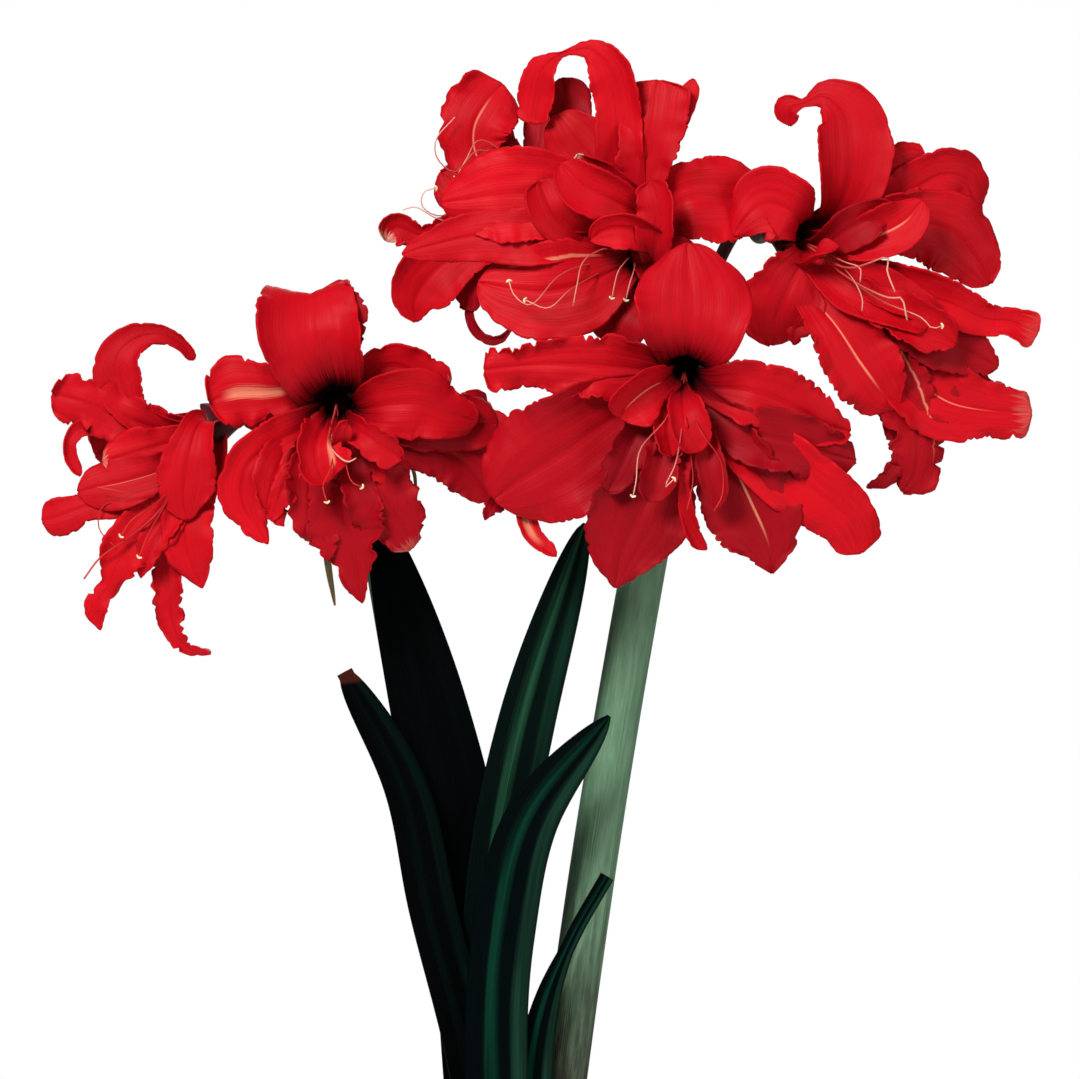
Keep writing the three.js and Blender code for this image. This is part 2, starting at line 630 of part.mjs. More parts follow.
const BLOOM_LOWER = {
  face: [84, -92, 601],
  axis: [0.05, -0.15, 1],
  petals: [
    {
      path: [
        [0.8, 9.9, 4, 16.6], [2.2, 21.7, 8, 26.9], [3.2, 36.6, 8, 30.6], [1.8, 52.5, 4, 23.6],
        [0.3, 65.9, -2, 8],
      ],
    },
    {
      path: [
        [-15.6, 1.9, 4, 11.2], [-37.9, 4.4, 8, 17.7], [-61.6, 5.4, 8, 15], [-81.4, 4.9, 4, 10.7],
        [-100.2, 3, 2, 12.3],
      ],
    },
    {
      path: [
        [-15.5, -9.4, 0, 12.3], [-36.8, -21.8, 2, 26.3], [-61.6, -39.1, 2, 31.7],
        [-83.9, -53, -2, 25.2], [-95.3, -61.4, -6, 11.2],
      ],
    },
    {
      path: [
        [12.7, -6, 4, 10.1], [30.5, -7.5, 8, 16.6], [50.3, -14.4, 8, 17.1], [68.1, -23.8, 4, 11.7],
        [81.1, -27.7, 0, 6.9],
      ],
    },
    {
      path: [
        [9.2, -11.9, 2, 6.9], [27.5, -26.8, 6, 14.4], [50.3, -32.2, 6, 16.6],
        [70.1, -38.7, 2, 13.4], [84.1, -42.1, -2, 6.9],
      ],
    },
    {
      path: [
        [14.2, -16.8, -2, 9], [36.5, -36.7, 2, 17.7], [59.7, -55, 2, 18.8], [80.6, -72.3, -2, 15],
        [87.1, -87.7, -8, 11.7],
      ],
    },
    {
      path: [
        [6.8, -14.4, -2, 9], [21.6, -41.6, 2, 20.9], [32.5, -63.9, 2, 25.2], [40.5, -82.7, 0, 17.1],
        [42.5, -97.6, -2, 2.2],
      ],
    },
    {
      path: [
        [-3.1, -16.8, -2, 9], [-13.1, -41.6, 2, 20.9], [-22.5, -66.4, 2, 26.3],
        [-31.9, -87.2, 0, 18.8], [-35.3, -105, -2, 3.2],
      ],
    },
    {
      path: [
        [-1.7, -9, 12, 5.4], [-0.8, -18.4, 18, 10.7], [2.6, -29.3, 20, 12.3], [7.6, -37.2, 20, 8],
      ], cup: 0.5,
    },
    {
      path: [
        [-8.2, -2.1, 12, 6.9], [-20.6, -7.6, 20, 13.9], [-28.5, -14.5, 22, 13.9],
        [-33.4, -21.4, 20, 7.4],
      ], cup: 0.4,
    },
    {
      path: [
        [-13.1, -12.9, 8, 5.4], [-25.5, -30.3, 12, 11.2], [-33.4, -46.6, 12, 10.1],
        [-38.8, -57.5, 10, 4.3],
      ], cup: 0.4,
    },
    {
      path: [
        [1.7, -31.8, 12, 3.2], [-1.3, -51.6, 14, 3.9], [-0.3, -66.4, 12, 4.1], [5.2, -81.2, 8, 4.1],
        [10.2, -85.7, 6, 1.9],
      ], cup: 0.4,
    },
    {
      path: [
        [-60.1, -46.5, -14, 4.3], [-79.9, -62.9, -14, 4.9], [-77.5, -77.3, -12, 5.4],
        [-64.6, -89.2, -8, 3.5],
      ], cup: 0.4,
    },
  ],
  stamens: [
    [[-10.7, -21.9, 24], [-23.1, -36.8, 28], [-25.1, -52.6, 28], [-26.6, -59.5, 28]],
    [[-3.3, -31.8, 26], [-5.8, -44.2, 28], [-10.8, -55.1, 28], [-6.3, -51.1, 30]],
    [[6.6, -26.9, 24], [16.9, -42.7, 26], [17.4, -59.5, 24], [13.5, -66.9, 22]],
  ],
};

const BLOOM_RIGHT = {
  face: [148, -32, 669],
  axis: [0.5, -0.1, 0.8],
  petals: [
    {
      path: [
        [12.1, 12.8, -2, 9], [18, 30.1, 2, 18.8], [19.4, 49, 4, 21.5], [16, 64, 2, 17.1],
        [5, 72.5, 0, 8.5], [-5.4, 68.6, -2, 2.6], [-12.3, 65.6, -4, 8], [-11.8, 57.2, -6, 4.9],
      ], cup: 0.1, look: [0.2, 0, 1],
    },
    {
      path: [
        [-4, 7.1, 8, 9], [-12.1, 14, 14, 17.7], [-24.5, 17.5, 14, 18.8], [-35, 9.5, 14, 10.1],
        [-40.4, 2.1, 12, 4.3],
      ], look: [0.2, 0, 1],
    },
    {
      path: [
        [-1, -7.3, 6, 9], [-11.5, -22.3, 8, 19.8], [-18.5, -39.7, 6, 19.8], [-21.4, -52.1, 2, 10.1],
      ], look: [0.2, 0, 1],
    },
    {
      path: [
        [15.6, 12.8, -6, 9], [33.1, 24.3, -8, 14.4], [47.1, 37.3, -10, 13.4], [57.2, 38.4, -14, 8],
      ], look: [0.2, 0, 1],
    },
    {
      path: [
        [18.1, 7.9, -8, 9], [42.1, 19.3, -8, 15.5], [64.1, 32.4, -12, 13.4], [77.2, 29, -18, 13.9],
        [80.8, 13.6, -22, 9],
      ], look: [0.2, 0, 1],
    },
    {
      path: [
        [18.1, 2.8, -4, 9], [44, 8.3, -2, 16.6], [67, 4.4, -6, 21.5], [80.1, -8.5, -12, 16.6],
        [88.1, -21.5, -16, 6.9],
      ], look: [0.2, 0, 1],
    },
    {
      path: [
        [-1, -24.7, 6, 9], [10.8, -42.7, 12, 15.5], [23.8, -62.2, 14, 19.8],
        [35.3, -77.6, 10, 13.9], [41.3, -83.5, 6, 4.3],
      ], look: [0.2, 0, 1],
    },
    {
      path: [
        [18, -29.6, 0, 9], [36.4, -59.6, 4, 15.5], [47.8, -84.5, 4, 15.5], [52.4, -101.9, 2, 14.4],
        [50.4, -116.4, 0, 13.4], [44, -125.3, -2, 5.4],
      ], look: [0.2, 0, 1],
    },
    {
      path: [
        [45.4, -103.4, 2, 4.9], [41.4, -113.4, 2, 4.3], [33.9, -119.4, 2, 4.3],
        [26.4, -123.3, 2, 2.2],
      ], look: [0.2, 0, 1],
    },
    {
      path: [
        [23, -34.6, -2, 9], [43.9, -62, 0, 19.8], [65.9, -80, 0, 20.9], [88.8, -84.9, -2, 13.9],
        [108.8, -85.9, -4, 12.3],
      ], look: [0.2, 0, 1],
    },
    {
      path: [
        [17.9, -14.7, 4, 9], [42.8, -24.7, 8, 14.4], [67.7, -32.2, 6, 13.4], [85.2, -39.6, 2, 9.6],
        [97.7, -40.6, 0, 8.5], [111.8, -46.1, -2, 11.7],
      ], cup: 0.4, look: [0.2, 0, 1],
    },
    {
      path: [
        [23, -24.7, 2, 9], [52.8, -42.1, 4, 16.6], [75.3, -54.6, 2, 13.9], [91.8, -63, 0, 4.3],
      ], look: [0.2, 0, 1],
    },
    {
      path: [
        [10.4, -0.8, 8, 6.9], [27.7, 1.1, 14, 13.4], [45.1, 9, 16, 13.4], [54.1, 20, 14, 5.4],
      ], cup: 0.4, look: [0.2, 0, 1],
    },
    {
      path: [
        [3, -10.8, 6, 8], [17.8, -22.3, 10, 15.5], [38.7, -30.3, 12, 15.5], [58.6, -39.7, 12, 10.1],
      ], cup: 0.3, look: [0.2, 0, 1],
    },
    {
      path: [
        [17.8, -22.3, 10, 6.9], [43.7, -37.8, 14, 13.4], [60.6, -46.7, 14, 12.3],
        [70.6, -51.7, 12, 4.3],
      ], cup: 0.4, look: [0.2, 0, 1],
    },
    { path: [[4, -18, -16, 13.6], [14, -40, -26, 18.9], [26, -60, -34, 10.5]], look: [0.3, 0, -1] },
  ],
  stamens: [
    [[17.6, -14, 26], [36.4, -9.1, 30], [35.9, -15.1, 32], [39.9, -26, 30]],
    [[22.6, -22.5, 26], [37.4, -29, 30], [42.9, -29, 30], [45.9, -39.9, 28]],
    [[15.1, -11.1, 26], [22.5, -14.1, 28], [22.6, -21, 26]],
    [[32.5, -29.9, 24], [53.4, -38.9, 26], [58.4, -43.9, 26], [63.4, -42.8, 24]],
  ],
};

// A withered bract of the spathe, a narrow curled strip that hangs from the umbel's foot
const BRACT_TIP = 0.2;
const BRACT_TWIST = 40;
const BRACT_STEPS = 5;
const TO_FRONT = new THREE.Vector3(0, -1, 0);

function bract(points) {
  const shape = {
    halfAt: (u) => BRACT_HALF_WIDTH * Math.max((1 - u * u) ** 0.5, BRACT_TIP),
    cupBase: 0.4,
    cupTip: 0.6,
    ruffle: 0.2,
    waves: 2,
    phase: 1,
    twist: BRACT_TWIST,
    thickness: PETAL_THICKNESS,
  };
  return blade(curveThrough(points), TO_FRONT, shape, BRACT_STEPS, NARROW_COLUMNS);
}

// A scape with its pedicels and bracts, grown as one piece; the pedicels end at the ovaries
function scape(foot, bend, umbel, radius, blooms, bracts) {
  const top = vec(umbel);
  const middle = vec(foot).lerp(top, 0.5).add(vec([bend, 0, 0])).toArray();
  const taper = (u) => Math.min(0.84 + u * 2, 1.04 - 0.1 * u);
  const radiusAt = (u) => radius * (u > SCAPE_HEAD_START ? SCAPE_HEAD_SHARE : taper(u));
  const solids = [stalk([foot, middle, umbel], radiusAt, SCAPE_SIDES, SCAPE_STEPS)];
  const rootPoint = top.clone().add(new THREE.Vector3(0, 0, -radius * 0.5));
  for (const spec of blooms) {
    const end = tubeEnd(spec);
    const axis = bloomAxis(spec);
    const span = end.distanceTo(rootPoint);
    const rise = rootPoint.clone().add(new THREE.Vector3(0, 0, span * 0.25));
    rise.lerp(end, 0.35);
    const run = end.clone().addScaledVector(axis, -span * 0.2);
    const points = [rootPoint.toArray(), rise.toArray(), run.toArray(), end.toArray()];
    solids.push(stalk(points, () => PEDICEL_RADIUS, PEDICEL_SIDES, PEDICEL_STEPS));
  }
  for (const path of bracts) {
    solids.push(bract([rootPoint.toArray(), ...path]));
  }
  return cutAtFoot(fuse(solids));
}

// A strap leaf: parallel sides, a channelled lower half and a blunt point
const LEAF_TAPER_START = 0.6;
const LEAF_POINT = 0.6;
const LEAF_ROOT_SHARE = 0.62;
const LEAF_ROOT_GROWTH = 1.6;
const LEAF_TIP_SHARE = 0.07;
const LEAF_CUT_SHARE = 0.34;
const LEAF_STEPS = 10;

function leafShare(u, spec) {
  const start = spec.taperStart ?? LEAF_TAPER_START;
  const root = Math.min(1, LEAF_ROOT_SHARE + u * LEAF_ROOT_GROWTH);
  const beyond = Math.max(0, (u - start) / (1 - start));
  return Math.max(root * (1 - beyond ** 2) ** (spec.blunt ?? LEAF_POINT), spec.tip ?? LEAF_TIP_SHARE);
}

function leaf(spec) {
  const shape = {
    halfAt: (u) => spec.half * leafShare(u, spec),
    cupBase: 0.16,
    cupTip: 0.12,
    ruffle: 0,
    waves: 0,
    phase: 0,
    twist: 0,
    thickness: LEAF_THICKNESS,
  };
  return cutAtFoot(blade(curveThrough(spec.path), TO_FRONT, shape, LEAF_STEPS, BROAD_COLUMNS));
}

const LEAVES = [
  { half: 20.5, path: [[-10, -1, FOOT_Z], [-16, -2, 250], [-25, -3, 350], [-43.6, -4, 434], [-71, -7, 537]] },
  {
    half: 12,
    blunt: 0.35,
    tip: LEAF_CUT_SHARE,
    path: [[-12, -14, FOOT_Z], [-21, -15, 250], [-42, -17, 336], [-56, -20, 398], [-86, -27, 454]],
  },
  {
    half: 15,
    blunt: 0.5,
    path: [[-3, -8, FOOT_Z], [-12, -9, 250], [-10.5, -11, 345], [4.5, -15, 428], [34, -26, 528]],
  },
  { half: 15.5, path: [[-1, -21, FOOT_Z], [-10, -23, 250], [-7, -25, 320], [7, -28, 380], [46, -35, 432]] },
  {
    half: 10.5,
    taperStart: 0.3,
    blunt: 1.6,
    tip: LEAF_CUT_SHARE,
    path: [[9, -18, FOOT_Z], [8, -17, 250], [15, -18, 290], [28, -21, 322], [45, -26, 352]],
  },
];

// The terracotta pot, turned on its axis, with drainage holes through its floor
function pot() {
  const wallAt = (z) => lerp(POT_BASE_RADIUS, POT_TOP_RADIUS, z / POT_HEIGHT);
  const rimBottom = POT_HEIGHT - POT_RIM_HEIGHT;
  const profile = [
    [0, 0],
    [POT_BASE_RADIUS, 0],
    [wallAt(rimBottom), rimBottom],
    [POT_RIM_RADIUS - POT_EDGE / 2, rimBottom + POT_EDGE],
    [POT_RIM_RADIUS, POT_HEIGHT - POT_EDGE],
    [POT_RIM_RADIUS - POT_EDGE, POT_HEIGHT],
    [POT_TOP_RADIUS - POT_WALL + POT_EDGE / 2, POT_HEIGHT],
    [POT_TOP_RADIUS - POT_WALL, POT_HEIGHT - POT_EDGE],
    [wallAt(POT_FLOOR) - POT_WALL, POT_FLOOR],
    [0, POT_FLOOR],
  ].map((p) => new THREE.Vector2(p[0], p[1]));
  let body = solidFrom(new THREE.LatheGeometry(profile, ROUND_SIDES).rotateX(Math.PI / 2));
  for (let i = 0; i < DRAIN_HOLES; i += 1) {
    const angle = (i / DRAIN_HOLES) * Math.PI * 2;
    const hole = new THREE.CylinderGeometry(DRAIN_RADIUS, DRAIN_RADIUS, POT_FLOOR * 3, DRAIN_SIDES);
    hole.rotateX(Math.PI / 2);
    hole.translate(Math.cos(angle) * DRAIN_RING, Math.sin(angle) * DRAIN_RING, 0);
    body = body.subtract(solidFrom(hole));
  }
  return body;
}

// The bulb's outline, from its base plate over the shoulder to the neck
const BULB_OUTLINE = [
  [24, BULB_BOTTOM],
  [38, BULB_BOTTOM + 9],
  [BULB_RADIUS - 1, BULB_BOTTOM + 24],
  [BULB_RADIUS, BULB_BOTTOM + 40],
  [BULB_RADIUS - 3, BULB_BOTTOM + 56],
  [NECK_RADIUS + 5, BULB_BOTTOM + 70],
  [NECK_RADIUS, NECK_TOP],
];

function bulb() {
  const profile = [
    [0, BULB_BOTTOM],
    ...BULB_OUTLINE,
    [NECK_POCKET_RADIUS, NECK_TOP],
    [NECK_POCKET_RADIUS - NECK_EDGE, NECK_POCKET_FLOOR],
    [0, NECK_POCKET_FLOOR],
  ].map((p) => new THREE.Vector2(p[0], p[1]));
  return solidFrom(new THREE.LatheGeometry(profile, ROUND_SIDES).rotateX(Math.PI / 2));
}

// The soil fills the pot round the bulb, with a low uneven top
const SOIL_CLEARANCE = 1;
const SOIL_COLLAR = 1.5;
const SOIL_RINGS = [0.4, 0.8];
const SOIL_SWELL = 1;
const SOIL_BUMP = 1.2;
const SOIL_BUMP_MARGIN = 2;

function soil() {
  const potAt = (z) => lerp(POT_BASE_RADIUS, POT_TOP_RADIUS, z / POT_HEIGHT);
  const wallAt = (z) => potAt(z) - POT_WALL - SOIL_CLEARANCE;
  const below = BULB_OUTLINE.filter((p) => p[1] < SOIL_TOP);
  const seat = below.map((p) => [p[0] + GAP * 1.6, p[1] - GAP]);
  const inner = BULB_RADIUS + SOIL_COLLAR;
  const outer = wallAt(SOIL_TOP);
  const swells = SOIL_RINGS.map((t) => [lerp(inner, outer, t), SOIL_TOP + SOIL_SWELL]);
  const profile = [
    [0, POT_FLOOR + GAP],
    [wallAt(POT_FLOOR), POT_FLOOR + GAP],
    [outer, SOIL_TOP - SOIL_SWELL],
    ...swells.reverse(),
    [inner, SOIL_TOP],
    ...seat.reverse(),
    [0, BULB_BOTTOM - GAP],
  ].map((p) => new THREE.Vector2(p[0], p[1]));
  const geometry = new THREE.LatheGeometry(profile, ROUND_SIDES).rotateX(Math.PI / 2);
  const place = geometry.attributes.position;
  for (let i = 0; i < place.count; i += 1) {
    const radius = Math.hypot(place.getX(i), place.getY(i));
    const clear = radius > inner + SOIL_BUMP_MARGIN && radius < outer - SOIL_BUMP_MARGIN;
    if (clear && place.getZ(i) > SOIL_TOP - POT_EDGE) {
      const bump = Math.sin(place.getX(i) * 0.31) * Math.cos(place.getY(i) * 0.27 + 1);
      place.setZ(i, place.getZ(i) + bump * SOIL_BUMP);
    }
  }
  return solidFrom(geometry);
}

// The group of named pieces, each with a finish of its own
const group = new THREE.Group();

function addPiece(name, solid, colour, roughness) {
  const material = new THREE.MeshStandardMaterial({ color: colour, roughness, metalness: 0 });
  const mesh = new THREE.Mesh(geometryFrom(solid), material);
  mesh.name = name;
  group.add(mesh);
}

addPiece("pot", pot(), COLOURS.pot, 0.85);
addPiece("soil", soil(), COLOURS.soil, 0.95);
addPiece("bulb", bulb(), COLOURS.bulb, 0.6);

const LEFT_BLOOMS = { bloom_left: BLOOM_LEFT, bloom_front: BLOOM_FRONT, bloom_back: BLOOM_BACK };
const RIGHT_BLOOMS = {
  bloom_top_left: BLOOM_TOP_LEFT,
  bloom_upper: BLOOM_UPPER,
  bloom_lower: BLOOM_LOWER,
  bloom_right: BLOOM_RIGHT,
};
const LEFT_BRACTS = [
  [[-92, 4, 545], [-96, -4, 512], [-90, -8, 486]],
  [[-70, 8, 560], [-54, 2, 548], [-50, -2, 524]],
];
const RIGHT_BRACTS = [
  [[72, 6, 600], [58, -2, 575], [44, -6, 553]],
  [[96, 8, 612], [112, 4, 596], [118, 2, 570]],
];
const left = Object.values(LEFT_BLOOMS);
const right = Object.values(RIGHT_BLOOMS);
const leftScape = scape(LEFT_FOOT, LEFT_BEND, LEFT_UMBEL, LEFT_SCAPE_RADIUS, left, LEFT_BRACTS);
const rightScape = scape(RIGHT_FOOT, RIGHT_BEND, RIGHT_UMBEL, RIGHT_SCAPE_RADIUS, right, RIGHT_BRACTS);
addPiece("scape_left", leftScape, COLOURS.scape, 0.5);
addPiece("scape_right", rightScape, COLOURS.scape, 0.5);

LEAVES.forEach((spec, i) => addPiece(`leaf_${i + 1}`, leaf(spec), COLOURS.leaf, 0.4));

Object.entries({ ...LEFT_BLOOMS, ...RIGHT_BLOOMS }).forEach(([name, spec], i) => {
  addPiece(name, bloom(spec, i), COLOURS.petal, 0.45);
});

export default group;
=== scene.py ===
import math
import random

import bmesh
import bpy
from mathutils import Matrix, Quaternion, Vector, noise


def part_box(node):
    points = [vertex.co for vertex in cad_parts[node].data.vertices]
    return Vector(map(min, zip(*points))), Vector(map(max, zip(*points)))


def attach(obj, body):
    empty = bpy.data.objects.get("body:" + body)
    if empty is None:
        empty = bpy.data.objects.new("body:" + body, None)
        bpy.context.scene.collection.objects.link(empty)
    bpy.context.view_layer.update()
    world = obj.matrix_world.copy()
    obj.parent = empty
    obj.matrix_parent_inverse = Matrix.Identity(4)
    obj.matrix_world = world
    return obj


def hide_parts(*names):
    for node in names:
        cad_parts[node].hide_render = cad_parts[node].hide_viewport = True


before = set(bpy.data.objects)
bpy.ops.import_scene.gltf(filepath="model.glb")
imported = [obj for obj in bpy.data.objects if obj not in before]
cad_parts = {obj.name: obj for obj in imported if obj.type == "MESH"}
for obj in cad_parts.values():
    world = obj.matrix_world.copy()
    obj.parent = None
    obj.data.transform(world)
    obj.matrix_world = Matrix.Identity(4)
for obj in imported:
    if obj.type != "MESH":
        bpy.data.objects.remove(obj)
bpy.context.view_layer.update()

MM = 0.001

# The pot: a plain thrown clay pot with a thickened rim and three drainage holes.
# Fired terracotta, unglazed, with a faint lime bloom where water has dried.
# It is turned about its axis; the plant's whole weight stands on its flat foot.
POT_FOOT_RADIUS = 57 * MM
POT_WALL_TOP_RADIUS = 82 * MM
POT_RIM_RADIUS = 87 * MM
POT_RIM_HEIGHT = 26 * MM
POT_WALL = 5 * MM
POT_FLOOR = 7 * MM
POT_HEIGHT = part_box("pot")[1].z
POT_EDGE = 1.2 * MM
DRAIN_HOLES = 3
DRAIN_RADIUS = 4.5 * MM
DRAIN_RING = 30 * MM
DRAIN_STEPS = 28
TURN_STEPS = 96
SAME_PLACE = 1e-6
CLAY_DEEP = (0.46, 0.17, 0.082, 1)
CLAY_PALE = (0.58, 0.25, 0.135, 1)
CLAY_SPECK = (0.30, 0.10, 0.05, 1)
LIME_BLOOM = (0.72, 0.56, 0.44, 1)


def finished(name, bm, material):
    """A smooth object from a bmesh, at the origin, riding on the plant's one body."""
    mesh = bpy.data.meshes.new(name)
    bm.to_mesh(mesh)
    bm.free()
    piece = bpy.data.objects.new(name, mesh)
    bpy.context.scene.collection.objects.link(piece)
    for each in material if isinstance(material, list) else [material]:
        mesh.materials.append(each)
    for polygon in mesh.polygons:
        polygon.use_smooth = True
    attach(piece, "root")
    return piece


def turned(outline, steps):
    """A bmesh turned about +Z from an outline of radius and height that starts and ends on the axis."""
    bm = bmesh.new()
    verts = [bm.verts.new((radius, 0, height)) for radius, height in outline]
    edges = [bm.edges.new(pair) for pair in zip(verts, verts[1:])]
    bmesh.ops.spin(bm, geom=verts + edges, cent=(0, 0, 0), axis=(0, 0, 1), angle=math.tau,
                   steps=steps, use_merge=True)
    bmesh.ops.remove_doubles(bm, verts=bm.verts, dist=SAME_PLACE)
    bmesh.ops.recalc_face_normals(bm, faces=bm.faces)
    return bm


def add_node(tree, kind, links=None, **settings):
    """A shader node with its settings, its inputs set to values or joined to sockets."""
    made = tree.nodes.new(kind)
    for key, value in settings.items():
        setattr(made, key, value)
    for key, value in (links or {}).items():
        if isinstance(value, bpy.types.NodeSocket):
            tree.links.new(value, made.inputs[key])
        else:
            made.inputs[key].default_value = value
    return made


def new_material(name, **constants):
    """A Principled material with its constant sockets set, and its node tree and shader."""
    material = bpy.data.materials.new(name)
    material.use_nodes = True
    shader = material.node_tree.nodes["Principled BSDF"]
    for key, value in constants.items():
        shader.inputs[key.replace("_", " ")].default_value = value
    return material, material.node_tree, shader


def mixed(tree, factor, first, second):
    """The colour between two others by a factor."""
    mix = add_node(tree, "ShaderNodeMix", data_type="RGBA")
    for socket, value in ((mix.inputs[0], factor), (mix.inputs[6], first), (mix.inputs[7], second)):
        if isinstance(value, bpy.types.NodeSocket):
            tree.links.new(value, socket)
        else:
            socket.default_value = value
    return mix.outputs[2]


def ranged(tree, value, low, high, to_low=0.0, to_high=1.0):
    """A value eased from one range into another."""
    links = {"Value": value, "From Min": low, "From Max": high, "To Min": to_low, "To Max": to_high}
    made = add_node(tree, "ShaderNodeMapRange", links, interpolation_type="SMOOTHSTEP")
    return made.outputs["Result"]


def worked(tree, operation, first, second=0.5):
    """One step of arithmetic on values."""
    made = add_node(tree, "ShaderNodeMath", operation=operation)
    for socket, value in zip(made.inputs, (first, second)):
        if isinstance(value, bpy.types.NodeSocket):
            tree.links.new(value, socket)
        else:
            socket.default_value = value
    return made.outputs[0]


def bumped(tree, shader, height, distance, strength=1.0):
    """Joins a height to the shader's normal."""
    bump = add_node(tree, "ShaderNodeBump", {"Height": height, "Distance": distance, "Strength": strength})
    tree.links.new(bump.outputs["Normal"], shader.inputs["Normal"])


def effect_group(name, inputs, outputs):
    """A new node group with named inputs, each of a kind, and named outputs that are all values."""
    group = bpy.data.node_groups.new(name, "ShaderNodeTree")
    for socket, kind in inputs.items():
        group.interface.new_socket(name=socket, in_out="INPUT", socket_type="NodeSocket" + kind)
    for socket in outputs:
        group.interface.new_socket(name=socket, in_out="OUTPUT", socket_type="NodeSocketFloat")
    return group, add_node(group, "NodeGroupInput"), add_node(group, "NodeGroupOutput")


def mottle_group():
    """Broad clouds and fine grain on Object coordinates, shared by clay, soil and bulb skins."""
    inputs = {"Vector": "Vector", "Cloud Scale": "Float", "Grain Scale": "Float"}
    group, enter, leave = effect_group("mottle", inputs, ["Clouds", "Grain"])
    cloud = add_node(group, "ShaderNodeTexNoise", {"Vector": enter.outputs[0], "Scale": enter.outputs[1],
                                                   "Detail": 6.0, "Roughness": 0.6})
    grain = add_node(group, "ShaderNodeTexNoise", {"Vector": enter.outputs[0], "Scale": enter.outputs[2],
                                                   "Detail": 4.0, "Roughness": 0.7})
    group.links.new(ranged(group, cloud.outputs[0], 0.3, 0.7), leave.inputs[0])
    group.links.new(grain.outputs[0], leave.inputs[1])
    return group


MOTTLE = mottle_group()


def mottle(tree, cloud_scale, grain_scale):
    """The mottle group placed in a material on Object coordinates; its clouds, grain and place."""
    place = add_node(tree, "ShaderNodeTexCoord")
    made = add_node(tree, "ShaderNodeGroup", node_tree=MOTTLE)
    tree.links.new(place.outputs["Object"], made.inputs[0])
    made.inputs[1].default_value = cloud_scale
    made.inputs[2].default_value = grain_scale
    return made.outputs[0], made.outputs[1], place.outputs["Object"]


def clay_material():
    clay, tree, shader = new_material("clay", Roughness=0.86)
    clouds, grain, _ = mottle(tree, 9.0, 420.0)
    body = mixed(tree, clouds, CLAY_DEEP, CLAY_PALE)
    lime = worked(tree, "MULTIPLY", ranged(tree, clouds, 0.72, 1.0), 0.45)
    body = mixed(tree, lime, body, LIME_BLOOM)
    speck = worked(tree, "MULTIPLY", ranged(tree, grain, 0.62, 0.78), 0.35)
    tree.links.new(mixed(tree, speck, body, CLAY_SPECK), shader.inputs["Base Color"])
    bumped(tree, shader, grain, 0.0006, 0.5)
    return clay


def pot_outline():
    """The wall's section from the foot up the outside, over the rim and down the inside to the floor."""
    def wall_at(height):
        return POT_FOOT_RADIUS + (POT_WALL_TOP_RADIUS - POT_FOOT_RADIUS) * height / POT_HEIGHT

    edge = POT_EDGE
    rim = POT_RIM_RADIUS
    top = POT_HEIGHT
    rim_bottom = POT_HEIGHT - POT_RIM_HEIGHT
    inner = POT_WALL_TOP_RADIUS - POT_WALL
    floor_edge = wall_at(POT_FLOOR) - POT_WALL
    outline = [(POT_FOOT_RADIUS - edge, 0), (POT_FOOT_RADIUS, edge)]
    outline += [(wall_at(rim_bottom * t), rim_bottom * t) for t in (0.25, 0.5, 0.75, 0.98)]
    outline += [(wall_at(rim_bottom) + edge, rim_bottom)]
    outline += [(rim - 2 * edge, rim_bottom + 0.5 * edge), (rim - edge, rim_bottom + 2 * edge)]
    outline += [(rim, top - 5 * edge), (rim - 0.3 * edge, top - 2 * edge)]
    outline += [(rim - 1.4 * edge, top - 0.3 * edge), (rim - 2.4 * edge, top)]
    outline += [(inner + 2 * edge, top), (inner + 0.6 * edge, top - 0.6 * edge), (inner, top - 2 * edge)]
    outline += [(floor_edge + edge, POT_FLOOR + edge), (floor_edge - edge, POT_FLOOR)]
    return outline


def drained_floor(bm):
    """Closes the turned wall with a floor that has three round holes through it."""
    rims = {height: [edge for edge in bm.edges
                     if edge.is_boundary and abs(edge.verts[0].co.z - height) < SAME_PLACE]
            for height in (0, POT_FLOOR)}
    for k in range(DRAIN_HOLES):
        turn = k * math.tau / DRAIN_HOLES
        centre = Vector((math.cos(turn), math.sin(turn), 0)) * DRAIN_RING
        rings = []
        for height in (0, POT_FLOOR):
            place = Matrix.Translation(centre + Vector((0, 0, height)))
            ring = bmesh.ops.create_circle(bm, segments=DRAIN_STEPS, radius=DRAIN_RADIUS, matrix=place)
            rings.append(list({edge for vert in ring["verts"] for edge in vert.link_edges}))
            rims[height] += rings[-1]
        bmesh.ops.bridge_loops(bm, edges=rings[0] + rings[1])
    for height in (0, POT_FLOOR):
        bmesh.ops.triangle_fill(bm, use_beauty=True, edges=rims[height], normal=(0, 0, 1))
    bmesh.ops.recalc_face_normals(bm, faces=bm.faces)


def clay_pot():
    bm = turned(pot_outline(), TURN_STEPS)
    drained_floor(bm)
    pot = finished("clay_pot", bm, clay_material())
    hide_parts("pot")


clay_pot()

# The soil: dark peat with bark crumbs and a few white perlite grains, pressed in round the bulb.
# It is poured in, so its top is uneven and lies under the pot's rim.
SOIL_TOP = 131 * MM
SOIL_TOP_RADIUS = 72.6 * MM
SOIL_FOOT_RADIUS = 52.6 * MM
SOIL_POCKET_RADIUS = 45 * MM
SOIL_POCKET_DEPTH = 20 * MM
SOIL_RINGS = 14
SOIL_CRUMBS = 900
PERLITE_SHARE = 0.06
PEAT_COLOURS = ((0.012, 0.008, 0.006, 1), (0.075, 0.045, 0.028, 1))
BARK_COLOURS = ((0.05, 0.026, 0.014, 1), (0.16, 0.085, 0.045, 1))
PERLITE_COLOURS = ((0.5, 0.48, 0.44, 1), (0.8, 0.79, 0.76, 1))
BULB_RADIUS = 46 * MM


